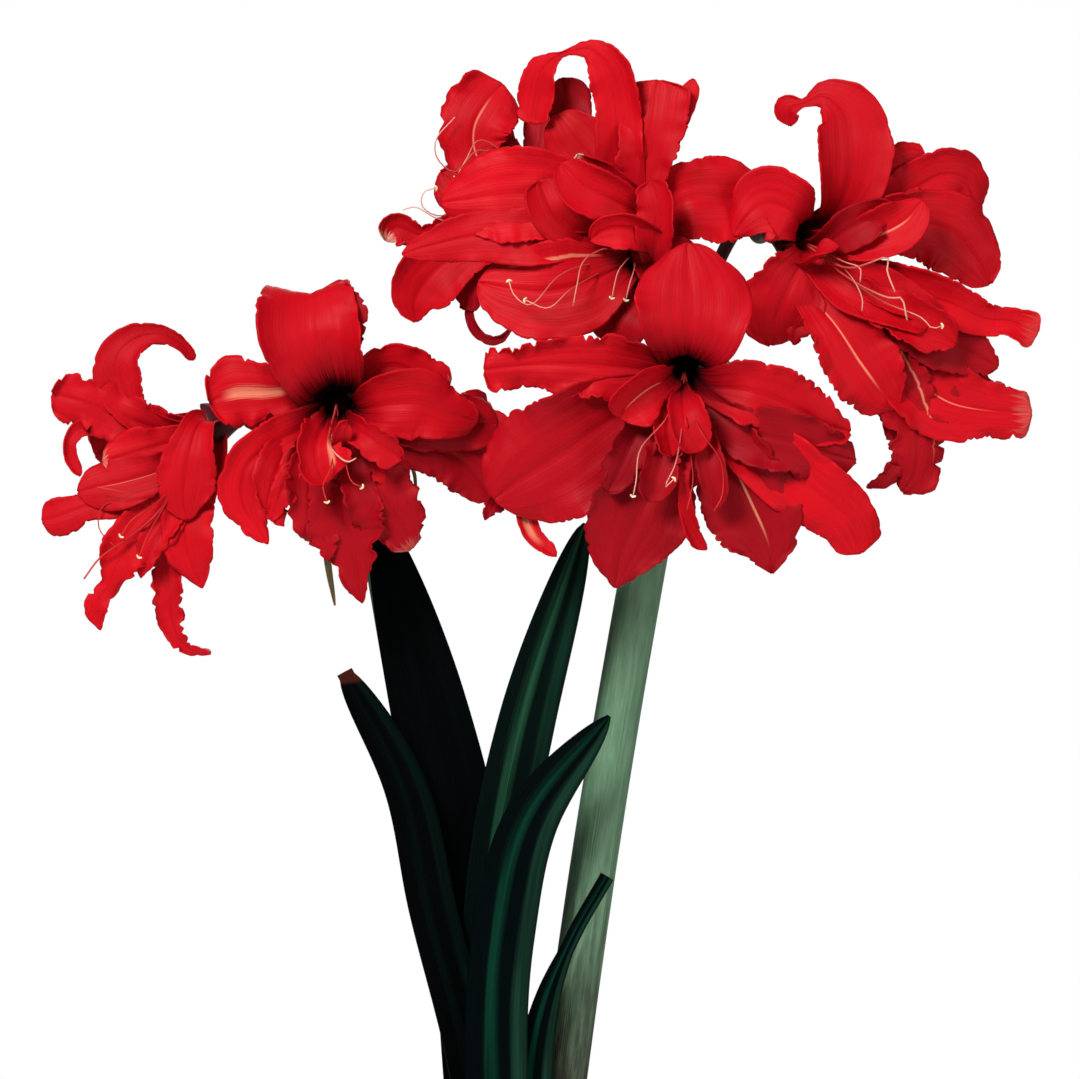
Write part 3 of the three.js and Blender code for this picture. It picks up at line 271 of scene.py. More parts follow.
def soil_material(name, dark, light):
    peat, tree, shader = new_material(name, Roughness=0.95)
    clouds, grain, _ = mottle(tree, 60.0, 500.0)
    earth = mixed(tree, worked(tree, "MULTIPLY", clouds, grain), dark, light)
    tree.links.new(earth, shader.inputs["Base Color"])
    bumped(tree, shader, grain, 0.001, 0.8)
    return peat


def soil():
    peat = soil_material("peat", *PEAT_COLOURS)
    bark = soil_material("bark", *BARK_COLOURS)
    perlite = soil_material("perlite", *PERLITE_COLOURS)
    inner = SOIL_POCKET_RADIUS
    outer = SOIL_TOP_RADIUS
    outline = [(0, POT_FLOOR + MM), (SOIL_FOOT_RADIUS, POT_FLOOR + MM), (outer, SOIL_TOP - 2 * MM)]
    outline += [(outer + (inner - outer) * k / SOIL_RINGS, SOIL_TOP) for k in range(SOIL_RINGS + 1)]
    outline += [(inner, SOIL_TOP - SOIL_POCKET_DEPTH), (0, SOIL_TOP - SOIL_POCKET_DEPTH)]
    bm = turned(outline, TURN_STEPS)
    for vert in bm.verts:
        if vert.co.z > SOIL_TOP - MM:
            vert.co.z += noise.noise(vert.co * 60) * 1.6 * MM + noise.noise(vert.co * 260) * 1.1 * MM
    draw = random.Random(5)
    for _ in range(SOIL_CRUMBS):
        angle = draw.uniform(0, math.tau)
        reach = draw.uniform(BULB_RADIUS + MM, outer - 2.5 * MM)
        size = draw.uniform(0.7, 2.2) * MM
        height = SOIL_TOP + draw.uniform(-0.3, 0.9) * MM
        spot = Vector((math.cos(angle) * reach, math.sin(angle) * reach, height))
        turn = Quaternion((draw.uniform(-1, 1), draw.uniform(-1, 1), draw.uniform(-1, 1), 1)).normalized()
        flat = Matrix.Diagonal((1, draw.uniform(0.5, 0.9), draw.uniform(0.35, 0.8), 1))
        crumb = bmesh.ops.create_icosphere(bm, subdivisions=1, radius=size,
                                           matrix=Matrix.Translation(spot) @ turn.to_matrix().to_4x4() @ flat)
        finish = 2 if draw.random() < PERLITE_SHARE else draw.randint(0, 1)
        for face in {face for vert in crumb["verts"] for face in vert.link_faces}:
            face.material_index = finish
    ground = finished("potting_soil", bm, [peat, bark, perlite])
    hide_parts("soil")


soil()

# The bulb: fleshy scales wrapped in dry brown tunics that flake at the shoulder and the neck.
# It sits half sunk in the soil, and the leaves and scapes rise out of its open neck.
BULB_BOTTOM = 84 * MM
NECK_TOP = 168 * MM
NECK_RADIUS = 32 * MM
NECK_POCKET_RADIUS = 29 * MM
NECK_POCKET_FLOOR = 154 * MM
BULB_RINGS = 34
BULB_STEPS = 160
BULB_RIBS = 19
SHOULDER_SHARE = 0.55
TUNIC_BROWN = (0.20, 0.085, 0.036, 1)
TUNIC_TAN = (0.46, 0.25, 0.115, 1)
TUNIC_FIBRE = (0.10, 0.040, 0.020, 1)


def tunic_material():
    tunic, tree, shader = new_material("tunic", Roughness=0.62, Sheen_Weight=0.2)
    clouds, _, place = mottle(tree, 26.0, 300.0)
    fibre_place = add_node(tree, "ShaderNodeMapping", {"Vector": place, "Scale": (260, 260, 9)})
    fibres = add_node(tree, "ShaderNodeTexNoise",
                      {"Vector": fibre_place.outputs[0], "Scale": 1.0, "Detail": 3.0})
    skin = mixed(tree, clouds, TUNIC_BROWN, TUNIC_TAN)
    thread = ranged(tree, fibres.outputs[0], 0.42, 0.62)
    skin = mixed(tree, worked(tree, "MULTIPLY", thread, 0.6), skin, TUNIC_FIBRE)
    tree.links.new(skin, shader.inputs["Base Color"])
    bumped(tree, shader, fibres.outputs[0], 0.0008, 0.8)
    return tunic


def bulb():
    tunic = tunic_material()
    outline = [(0, BULB_BOTTOM)]
    for k in range(BULB_RINGS + 1):
        t = k / BULB_RINGS
        height = BULB_BOTTOM + (NECK_TOP - BULB_BOTTOM) * t
        belly = BULB_RADIUS * math.sin(math.pi * min(1, 0.16 + t * 0.62)) ** 0.6
        drawn_in = 1 - (t - SHOULDER_SHARE) ** 2 * 1.2
        radius = belly if t < SHOULDER_SHARE else max(belly * drawn_in, NECK_RADIUS)
        outline.append((min(radius, BULB_RADIUS), height))
    outline += [(NECK_RADIUS - 1.2 * MM, NECK_TOP + 0.3 * MM), (NECK_POCKET_RADIUS, NECK_TOP - MM),
                (NECK_POCKET_RADIUS - MM, NECK_POCKET_FLOOR), (0, NECK_POCKET_FLOOR)]
    bm = turned(outline, BULB_STEPS)
    for vert in bm.verts:
        reach = math.hypot(vert.co.x, vert.co.y)
        if reach > NECK_POCKET_RADIUS:
            angle = math.atan2(vert.co.y, vert.co.x)
            rib = math.cos(angle * BULB_RIBS + noise.noise(vert.co * 30) * 3) * 0.35 * MM
            patch = noise.noise(Vector((math.cos(angle) * 2, math.sin(angle) * 2, vert.co.z * 25))) * 0.9 * MM
            swollen = 1 + (rib + patch - 0.8 * MM) / reach
            vert.co.x *= swollen
            vert.co.y *= swollen
    body = finished("bulb_body", bm, tunic)
    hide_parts("bulb")


bulb()

# The scapes: two tall hollow stalks, grey-green with a waxy bloom and a brown-red foot.
# Each carries an umbel of maroon pedicels, and the dry bracts of its spathe hang from the umbel.
# They grow from the bulb's neck beside the leaves.
LEFT_UMBEL = (-78, 16, 572)
RIGHT_UMBEL = (84, 16, 622)
LEFT_FOOT = (-6, 16, 154.5)
RIGHT_FOOT = (10, 5, 154.5)
LEFT_BEND = 0
RIGHT_BEND = -4
LEFT_SCAPE_RADIUS = 9.5
RIGHT_SCAPE_RADIUS = 11.6
SCAPE_RIBS = 9
SCAPE_SIDES = 48
SCAPE_STEPS = 90
PEDICEL_RADIUS = 3.6
PEDICEL_SIDES = 16
PEDICEL_STEPS = 24
BRACT_THICKNESS = 0.5 * MM
BRACT_GRID = (30, 8)
CURVE_STEPS = 24
STALK_FACING = Vector((0.31, -0.93, 0.2))
TOWARDS_FRONT = Vector((0, -1, 0))
SCAPE_GREEN = (0.098, 0.200, 0.112, 1)
SCAPE_PALE = (0.142, 0.258, 0.152, 1)
SCAPE_LINE = (0.060, 0.128, 0.072, 1)
SCAPE_SHADED = (0.034, 0.082, 0.050, 1)
SCAPE_FOOT = (0.030, 0.022, 0.016, 1)
PEDICEL_GREEN = (0.070, 0.120, 0.050, 1)
PEDICEL_MAROON = (0.075, 0.010, 0.018, 1)
PEDICEL_LINE = (0.030, 0.004, 0.008, 1)
BRACT_OLIVE = (0.30, 0.25, 0.085, 1)
BRACT_STRAW = (0.42, 0.33, 0.16, 1)
BRACT_TIP = (0.22, 0.12, 0.045, 1)
BRACT_LINE = (0.13, 0.09, 0.03, 1)


def through(points, count):
    """Equal steps along the smooth curve through some points: places, directions and each point's share."""
    ends = [points[0] * 2 - points[1], *points, points[-1] * 2 - points[-2]]
    dense = [points[0].copy()]
    for a, b, c, d in zip(ends, ends[1:], ends[2:], ends[3:]):
        before, span, after = ((q - p).length ** 0.5 for p, q in ((a, b), (b, c), (c, d)))
        lead = ((b - a) / before - (c - a) / (before + span) + (c - b) / span) * span
        trail = ((c - b) / span - (d - b) / (span + after) + (d - c) / after) * span
        for k in range(1, CURVE_STEPS + 1):
            t = k / CURVE_STEPS
            dense.append(b * (2 * t ** 3 - 3 * t ** 2 + 1) + lead * (t ** 3 - 2 * t ** 2 + t)
                         + c * (3 * t ** 2 - 2 * t ** 3) + trail * (t ** 3 - t ** 2))
    runs = [0.0]
    for p, q in zip(dense, dense[1:]):
        runs.append(runs[-1] + (q - p).length)
    places = []
    spot = 0
    for k in range(count + 1):
        goal = runs[-1] * k / count
        while spot < len(runs) - 2 and runs[spot + 1] < goal:
            spot += 1
        share = (goal - runs[spot]) / max(runs[spot + 1] - runs[spot], 1e-9)
        places.append(dense[spot].lerp(dense[spot + 1], min(share, 1)))
    last = len(places) - 1
    ways = [(places[min(k + 1, last)] - places[max(k - 1, 0)]).normalized() for k in range(last + 1)]
    return places, ways, [runs[k * CURVE_STEPS] / runs[-1] for k in range(len(points))]


def carried_frames(points, facing, count):
    """Place, direction, face normal and side at each step, carried from the middle without turning."""
    places, ways, _ = through(points, count)
    normals = [facing] * (count + 1)
    middle = round(count / 2)
    for i in [*range(middle, count + 1), *range(middle - 1, -1, -1)]:
        near = facing if i == middle else normals[i - 1 if i > middle else i + 1]
        normals[i] = (near - ways[i] * near.dot(ways[i])).normalized()
    return [(place, way, normal, way.cross(normal)) for place, way, normal in zip(places, ways, normals)]


def add_stalk(bm, points, radius_at, sides, steps, finish, ribs=None):
    """A round stalk along a curve, made from a grid wrapped round it, with both ends closed."""
    frames = carried_frames(points, STALK_FACING, steps)
    uv_layer = bm.loops.layers.uv.verify()
    grid = bmesh.ops.create_grid(bm, x_segments=steps, y_segments=sides, size=1.0)["verts"]
    mapped = {}
    for vert in grid:
        u = (vert.co.x + 1) / 2
        v = (vert.co.y + 1) / 2
        mapped[vert] = (u, v)
        place, _, normal, side = frames[round(u * steps)]
        angle = v * math.tau
        radius = radius_at(u) * (1 + (ribs(u, angle) if ribs else 0))
        vert.co = place + (normal * math.cos(angle) + side * math.sin(angle)) * radius
    faces = {face for vert in grid for face in vert.link_faces}
    for face in faces:
        face.material_index = finish
        for loop in face.loops:
            loop[uv_layer].uv = mapped[loop.vert]
    ends = [vert for vert in grid if mapped[vert][0] in (0.0, 1.0)]
    bmesh.ops.remove_doubles(bm, verts=grid, dist=1e-7)
    rims = [edge for edge in bm.edges if edge.is_boundary and all(v in ends for v in edge.verts)]
    caps = bmesh.ops.holes_fill(bm, edges=rims, sides=0)["faces"]
    for face in caps:
        face.material_index = finish


def streak_group():
    """Fine lines along a blade or stalk: a UV map in, broad and fine streaks out."""
    inputs = {"UV": "Vector", "Fine": "Vector", "Broad": "Vector"}
    group, enter, leave = effect_group("streaks", inputs, ["Lines", "Bands"])
    for k in (1, 2):
        spread = add_node(group, "ShaderNodeVectorMath", {0: enter.outputs[0], 1: enter.outputs[k]},
                          operation="MULTIPLY")
        lines = add_node(group, "ShaderNodeTexNoise",
                         {"Vector": spread.outputs[0], "Scale": 1.0, "Detail": 2.5})
        group.links.new(ranged(group, lines.outputs[0], 0.32, 0.68), leave.inputs[k - 1])
    return group


STREAKS = streak_group()


def streaks(tree, fine, broad):
    """The streak group placed in a material on the piece's UV map; lines, bands, u and v."""
    uv = add_node(tree, "ShaderNodeUVMap", uv_map="along")
    made = add_node(tree, "ShaderNodeGroup", node_tree=STREAKS)
    tree.links.new(uv.outputs[0], made.inputs[0])
    made.inputs[1].default_value = fine
    made.inputs[2].default_value = broad
    apart = add_node(tree, "ShaderNodeSeparateXYZ", {0: uv.outputs[0]})
    return made.outputs[0], made.outputs[1], apart.outputs[0], apart.outputs[1]


def scape_material():
    skin, tree, shader = new_material("scape_skin", Roughness=0.5, Specular_IOR_Level=0.25)
    lines, bands, u, around = streaks(tree, (4.0, 90.0, 1.0), (26.0, 22.0, 1.0))
    green = mixed(tree, bands, SCAPE_GREEN, SCAPE_PALE)
    green = mixed(tree, worked(tree, "MULTIPLY", lines, 0.25), green, SCAPE_LINE)
    # Painted shade down the stalk's left side: the shaded green is laid over it by a mask around the stalk.
    from_left = worked(tree, "ABSOLUTE", worked(tree, "SUBTRACT", around, 0.72))
    green = mixed(tree, ranged(tree, from_left, 0.18, 0.0, 0.0, 0.7), green, SCAPE_SHADED)
    foot = ranged(tree, worked(tree, "ADD", u, worked(tree, "MULTIPLY", bands, 0.08)), 0.50, 0.16)
    green = mixed(tree, foot, green, SCAPE_FOOT)
    tree.links.new(green, shader.inputs["Base Color"])
    bumped(tree, shader, lines, 0.0004, 0.6)
    return skin


def pedicel_material():
    skin, tree, shader = new_material("pedicel_skin", Roughness=0.45)
    lines, _, u, _ = streaks(tree, (1.5, 24.0, 1.0), (3.0, 4.0, 1.0))
    tone = mixed(tree, ranged(tree, u, 0.05, 0.55), PEDICEL_GREEN, PEDICEL_MAROON)
    tone = mixed(tree, worked(tree, "MULTIPLY", lines, 0.5), tone, PEDICEL_LINE)
    tree.links.new(tone, shader.inputs["Base Color"])
    bumped(tree, shader, lines, 0.0003, 0.5)
    return skin


def bract_material():
    husk, tree, shader = new_material("dry_bract", Roughness=0.7)
    lines, bands, u, _ = streaks(tree, (2.0, 26.0, 1.0), (4.0, 5.0, 1.0))
    tone = mixed(tree, bands, BRACT_OLIVE, BRACT_STRAW)
    tone = mixed(tree, ranged(tree, u, 0.75, 1.0), tone, BRACT_TIP)
    tone = mixed(tree, worked(tree, "MULTIPLY", lines, 0.5), tone, BRACT_LINE)
    tree.links.new(tone, shader.inputs["Base Color"])
    bumped(tree, shader, lines, 0.0004, 0.8)
    return husk


SCAPE_SKIN = scape_material()
PEDICEL_SKIN = pedicel_material()
DRY_BRACT = bract_material()


def eased(value, low, high):
    """A share from nothing at low to all at high, with soft ends."""
    share = min(max((value - low) / (high - low), 0), 1)
    return share * share * (3 - 2 * share)


def add_blade(bm, points, facing, shape, along, across, finish=0, colour_and_shade=None, mapping=lambda u: u):
    """A petal, leaf or bract: a grid laid along a curve by its shape, with a UV map along it."""
    frames = carried_frames(points, facing, along)
    uv_layer = bm.loops.layers.uv.verify()
    grid = bmesh.ops.create_grid(bm, x_segments=along, y_segments=across, size=1.0)["verts"]
    mapped = {}
    for vert in grid:
        u = (vert.co.x + 1) / 2
        v = vert.co.y
        mapped[vert] = (mapping(u), (v + 1) / 2)
        place, way, normal, side = frames[round(u * along)]
        sideways, lift = shape(u, v)
        vert.co = place + side * sideways + normal * lift
    for face in {face for vert in grid for face in vert.link_faces}:
        face.material_index = finish
        for loop in face.loops:
            loop[uv_layer].uv = mapped[loop.vert]
            for layer, value in (colour_and_shade or {}).items():
                loop[layer] = value


def in_metres(points):
    return [Vector(point) * MM for point in points]


def bract_shape(widest, seed):
    def shape(u, v):
        torn = 1 + 0.12 * noise.noise(Vector((u * 8, v, seed)))
        half = widest * MM * max((1 - u * u) ** 0.5, 0.12) * torn
        curl = (0.4 + 0.3 * u) * v * v + 0.25 * math.sin(u * 9 + v * 2 + seed) * abs(v) ** 2
        return v * half * 0.86, half * curl
    return shape


BRACTS = {
    "left": [{"half": 3, "path": [(-92, 4, 545), (-95, -4, 515), (-91, -8, 487)]},
             {"half": 1.2, "path": [(-66, 6, 566), (-52.5, 0, 556), (-50.5, -4, 540), (-49.5, -6, 525)]},
             {"half": 4.5, "path": [(-84, 2, 545), (-87, -3, 522), (-88, -6, 506)]}],
    "right": [{"half": 5, "path": [(72, 6, 600), (58, -2, 575), (44, -6, 553)]},
              {"half": 5, "path": [(96, 8, 612), (112, 4, 596), (118, 2, 570)]}],
}


def grown(name, bm, materials):
    """A finished piece whose UV map runs along its stalks or blades."""
    piece = finished(name, bm, materials)
    piece.data.uv_layers[0].name = "along"
    return piece


def thin_sheet(name, bm, materials, thickness):
    """A grown piece of blades that get their thickness from a Solidify modifier."""
    sheet = grown(name, bm, materials)
    wall = sheet.modifiers.new("thickness", "SOLIDIFY")
    wall.thickness = thickness
    wall.offset = 0
    return sheet


def scape(side, foot, bend, umbel, radius, blooms):
    bm = bmesh.new()
    foot, top = in_metres([foot, umbel])
    middle = foot.lerp(top, 0.5) + Vector((bend * MM, 0, 0))

    def radius_at(u):
        end = max(0.0, (u - 0.975) / 0.025)
        return radius * MM * min(0.84 + u * 2, 1.04 - 0.1 * u) * (1 - 0.45 * end ** 2)

    def ribs(u, angle):
        uneven = noise.noise(Vector((math.cos(angle), math.sin(angle), u * 5)))
        return 0.012 * math.cos(angle * SCAPE_RIBS) + 0.012 * uneven

    def pedicel_radius(u):
        return PEDICEL_RADIUS * MM * (1.12 - 0.2 * math.sin(u * math.pi))

    add_stalk(bm, [foot, middle, top], radius_at, SCAPE_SIDES, SCAPE_STEPS, 0, ribs)
    root = top - Vector((0, 0, radius * MM * 0.5))
    for bloom in blooms:
        end = ovary_end(bloom)
        span = (end - root).length
        rise = (root + Vector((0, 0, span * 0.25))).lerp(end, 0.35)
        run = end - bloom_axis(bloom) * span * 0.2
        add_stalk(bm, [root, rise, run, end], pedicel_radius, PEDICEL_SIDES, PEDICEL_STEPS, 1)
    stalk = grown("scape_skin_" + side, bm, [SCAPE_SKIN, PEDICEL_SKIN])
    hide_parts("scape_" + side)
    bm = bmesh.new()
    for k, bract in enumerate(BRACTS[side]):
        points = [root, *in_metres(bract["path"])]
        add_blade(bm, points, TOWARDS_FRONT, bract_shape(bract["half"], k * 3.1), *BRACT_GRID)
    husk = thin_sheet("bracts_" + side, bm, DRY_BRACT, BRACT_THICKNESS)


# The blooms' plan: where each double bloom opens, which way it looks, and how each petal runs.
# A petal's points run from the throat to its tip, in millimetres from the middle of the bloom's face.
# The pedicels need it first, because each ends at the ovary behind its bloom's tube.
FLARE_DEPTH = 17 * MM
FIRST_POINT_DEPTH = 6 * MM
TUBE_LENGTH = 27 * MM
OVARY_LENGTH = 12 * MM
OVARY_GAP = 0.35 * MM


def bloom_axis(bloom):
    across, up, forward = bloom["axis"]
    return Vector((across, -forward, up)).normalized()


def ovary_end(bloom):
    behind = FLARE_DEPTH + TUBE_LENGTH + OVARY_LENGTH + OVARY_GAP
    return Vector(bloom["face"]) * MM - bloom_axis(bloom) * behind


def petal(*path, **form):
    """A petal's plan: across, up, forward and half width at each point, and what sets it apart, among it a
    tone that is painted shade from shaded to lit red.
    """
    return {"path": path, **form}


def stamen(*path, thick=0.5, anther=False, red=False):
    """A stamen's plan: across, up and forward at each point, its thickness, and what it ends in."""
    return {"path": path, "thick": thick, "anther": anther, "red": red}


BLOOM_LEFT = {
    "face": (-172, -4, 571), "axis": (-0.94, -0.3, 0.08), "look": (-0.15, 0, 1), "outside": 0.24,
    "petals": [
        petal((-3.8, 1.2, 4, 6.9), (-18.3, 11.7, 6, 9), (-26.3, 26.2, 6, 13.4), (-26.8, 40.2, 6, 11.7),
              (-18.8, 48.7, 6, 8.5), (-6.3, 51.2, 5, 5), (4.6, 46.2, 3, 3.7), (10.6, 38.7, 2, 3.2),
              cup=0.1, rag=0.4),
        petal((-3.8, 0.7, 5, 10.1), (-27.3, 10.7, 7, 13.9), (-45.2, 17.7, 8, 12.3), (-60.3, 21.7, 6, 11.7),
              rag=1.8),
        petal((-3.7, -3.8, 10, 9), (-21.2, -8.8, 12, 12.3), (-34.7, -12.3, 12, 6.9), rag=1, pale=0.3),
        petal((-6.2, -16.3, 14, 9), (-23.6, -22.3, 14, 13.4), (-38.6, -25.3, 12, 11.2),
              (-47.2, -27.3, 10, 5.4), streak=0.4),
        petal((-11.3, -21.3, 8, 9), (-28.7, -29.8, 10, 11.2), (-43.7, -34.8, 10, 7.4),
              (-55.2, -39.3, 10, 10.1), (-65.2, -41.8, 8, 8.5), rag=0.4),
        petal((-3.7, -31.3, 12, 11.2), (-16.1, -48.8, 14, 14.4), (-26.2, -62.2, 12, 11.2),
              (-31.2, -73.2, 10, 5), (-38.2, -84.2, 8, 6.4), (-36.3, -96.2, 6, 1.6), rag=1),
        petal((-1.3, -31.3, 8, 10.1), (-3.3, -56.2, 6, 9.6), (-2.4, -73.7, 4, 7.5), (-1.9, -87.2, 4, 7.7),
              (2.1, -99.7, 4, 5), (9.1, -106.2, 3, 3), (19.1, -108.2, 2, 1.3), rag=1.5),
        petal((8.8, 5.6, 16, 8), (10, -4.4, 22, 12.3), (7.5, -18.3, 22, 16.1), (6.4, -32.8, 20, 11.2),
              (7.9, -41.3, 18, 4.3), rag=0.6),
        petal((11.7, -13.8, 10, 11.2), (8.8, -31.3, 14, 13.9), (7.4, -46.3, 16, 13.4),
              (9.8, -61.2, 14, 11.2), (14.7, -75.2, 10, 1.9), rag=0.5),
        petal((-11.4, -3.8, 0, 9), (-26.5, -1.2, -6, 15.5), (-39.2, -8.7, -14, 10.1)),
        petal((-14, -8, -14, 14.5), (-28, -4, -30, 18.5), (-34, -14, -42, 10.5), look=None),
        petal((-6, -16, -14, 13.3), (-10, -40, -24, 18.8), (-8, -62, -30, 10.5), look=(-0.5, 0, -0.8)),
        petal((-26.3, 2.7, 4, 5.4), (-45.3, 4.7, 6, 4.9), (-51.2, -1.3, 8, 4.3), (-51.2, -9.8, 8, 3.9),
              (-46.2, -19.3, 8, 3.2), cup=0.4),
        petal((-6.2, -41.3, 14, 9), (-11.1, -55.2, 16, 6.9), (-15.1, -64.2, 14, 4.3),
              (-15.7, -70.2, 12, 2.7), rag=1),
        petal((11.6, -21.3, 2, 6.9), (16.6, -32.8, 0, 4.3), (19.6, -40.8, 0, 1.7), rag=1),
    ],
    "stamens": [
        stamen((-1.1, -20.3, 18), (-18.5, -27.3, 22), (-37.5, -24.8, 20), red=True),
        stamen((-3.6, -28.8, 20), (-21, -42.3, 22), (-25.5, -49.3, 20), anther=True, red=True),
        stamen((-3.6, -33.8, 20), (-12, -48.8, 22), (-16.5, -59.7, 20), anther=True, red=True),
        stamen((-6.1, -36.3, 18), (-22, -50.3, 18), (-36.1, -60.2, 16), (-44.1, -70.7, 14), thick=0.8,
               red=True),
        stamen((-11.1, -31.3, 14), (-34.1, -33.8, 14), (-36.6, -45.3, 14), (-28.6, -54.7, 14), red=True),
    ],
}
BLOOM_FRONT = {
    "face": (-90, -48, 585), "axis": (0, -0.12, 1),
    "petals": [
        petal((-5, 14, 4, 20.5), (-13, 38, 8, 28.5), (-13, 58, -4, 22.9), (-13, 55, -18, 15.7), cup=0.3,
              rag=0.8),
        petal((-17.9, 8.4, -2, 10.1), (-35.4, 8.4, -2, 15.5), (-50.3, 7.9, -4, 17.7),
              (-63.3, 3.4, -4, 12.3), rag=1.5, streak=6),
        petal((-12.9, -8, 2, 10.1), (-28.8, -16.5, 6, 13.4), (-43.7, -28.5, 8, 12.3),
              (-46.2, -42.9, 6, 12.8), (-40.7, -57.3, 5, 7.4), (-33.8, -67.2, 5, 1.6), rag=0.6),
        petal((-17.9, -15.5, 4, 9), (-26.8, -26.5, 8, 12.8), (-31.2, -40.4, 10, 10.7),
              (-29.3, -52.8, 9, 5.4), (-25.8, -58.3, 8, 1.6), rag=1),
        petal((-5.3, -8.1, 14, 8), (-9.7, -18.1, 20, 14.4), (-8.7, -28, 22, 15), (-4.8, -37.4, 20, 8),
              cup=0.5, rag=1.2, streak=3, rib=-0.5),
        petal((7.1, -8.1, 14, 5.4), (16.1, -14.6, 20, 9), (25, -20.6, 22, 10.1), (33, -25, 20, 4.3),
              cup=0.4, rag=1),
        petal((13, -0.6, 4, 9), (25.9, 1.9, 10, 17.1), (41.9, 2.3, 12, 18.8), (56.8, -3.1, 8, 12.3),
              (70.7, -6, 2, 6.9), rag=0.5),
        petal((12.9, 11.9, -6, 10.1), (26.8, 21.4, -10, 12.8), (42.7, 16, -12, 11.2), (55.7, 9, -14, 9.6),
              rag=1, pale=0.2),
        petal((21.9, -5.5, 2, 9), (44.3, -7.5, 2, 14.4), (64.2, -7, -2, 14.4), (80.6, -7.5, -6, 10.1),
              rag=0.6, tone=0.3),
        petal((17.9, -11.5, 0, 9), (35.8, -18, -2, 12.3), (54.2, -21.4, -6, 13.9),
              (69.1, -31.4, -10, 15.5), (77.1, -45.3, -12, 9), rag=1, tone=0.15),
        petal((8, -15.5, 4, 9), (16, -32.9, 8, 16.6), (24.9, -47.9, 10, 18.8), (32.9, -60.3, 8, 13.4),
              (37.8, -69.7, 6, 9), rag=1.6, tone=0.2, pale=0.1),
        petal((2, -15.5, 2, 9), (3, -35.4, 6, 16.6), (4.5, -55.3, 6, 20.9), (8.5, -71.7, 4, 12.3),
              (10.5, -85.1, 2, 6.9), (12.9, -96.6, 0, 1.6), rag=1.4, tone=0.25),
        petal((-6.9, -15.5, 4, 8), (-11.9, -34.4, 8, 13.4), (-10.9, -49.3, 8, 13.9), (-5.9, -65.2, 6, 8),
              (-3.4, -75.7, 5, 1.6), rag=1.6, tone=0.3),
        petal((-14, 8, -14, 13.3), (-34, 4, -22, 17.6), (-46, -8, -30, 9.9), look=(-0.3, 0, 1)),
        petal((8, 31.7, 6, 5.4), (8, 48.1, 5, 8), (4.5, 61.6, 0, 3.8), rag=1.2, tone=0.2),
        petal((-17.8, -25.5, 10, 6.9), (-26.2, -40.4, 12, 6.9), (-30.2, -51.3, 10, 4.3),
              (-32.2, -55.8, 9, 1.9), rag=1),
        petal((2.2, -18.1, 22, 4.3), (3.7, -10.6, 24, 5.4), (5.7, -5.7, 24, 3.2), rag=0.6),
        petal((20, -23, 12, 6.9), (27.4, -30.5, 10, 9), (31.4, -38.9, 8, 5.4), rag=1.2),
    ],
    "stamens": [
        stamen((-2.7, -30.5, 26), (-6.2, -38.4, 26), (-4.2, -46.4, 26), anther=True, red=True),
        stamen((4.7, -25.5, 24), (8.2, -36.5, 26), (13.2, -38.9, 26), anther=True, red=True),
        stamen((-2.7, -18.6, 26), (1.3, -23.6, 28), (6.2, -26.5, 28), (10.2, -24.6, 26), thick=0.7),
    ],
}
BLOOM_BACK = {
    "face": (-38, 64, 572), "axis": (0.5, 0, -0.85),
    "petals": [
        petal((14, 0, -2, 15.2), (24, -6, 2, 18.8), (20, -32, 4, 10.5)),
        petal((12, 6, -6, 14.4), (22, 8, -18, 17.7), (24, 10, -34, 9.9)),
        petal((-2, 12, -14, 13.7), (-14, 18, -28, 20.1), (-22, 20, -44, 11.1)),
        petal((-6, 2, -16, 9.6), (-26, 0, -32, 21.3), (-42, -8, -44, 11.7)),
        petal((0, -6, -12, 6.4), (-6, -8, -28, 12.3), (-10, -9, -44, 6.8)),
        petal((10, -10, -8, 14.8), (20, -18, -20, 18.8), (22, -24, -36, 10.5)),
        petal((10, 2, -16, 9.1), (22, 2, -30, 14.6), (30, 0, -48, 8), cup=0.4),
        petal((4, -8, -18, 8.3), (8, -16, -36, 13.4), (10, -20, -52, 7.4), cup=0.4),
    ],
    "stamens": [
        stamen((6, -4, -20), (12, -12, -44), anther=True),
        stamen((2, 2, -20), (4, -2, -46), anther=True),
    ],
}
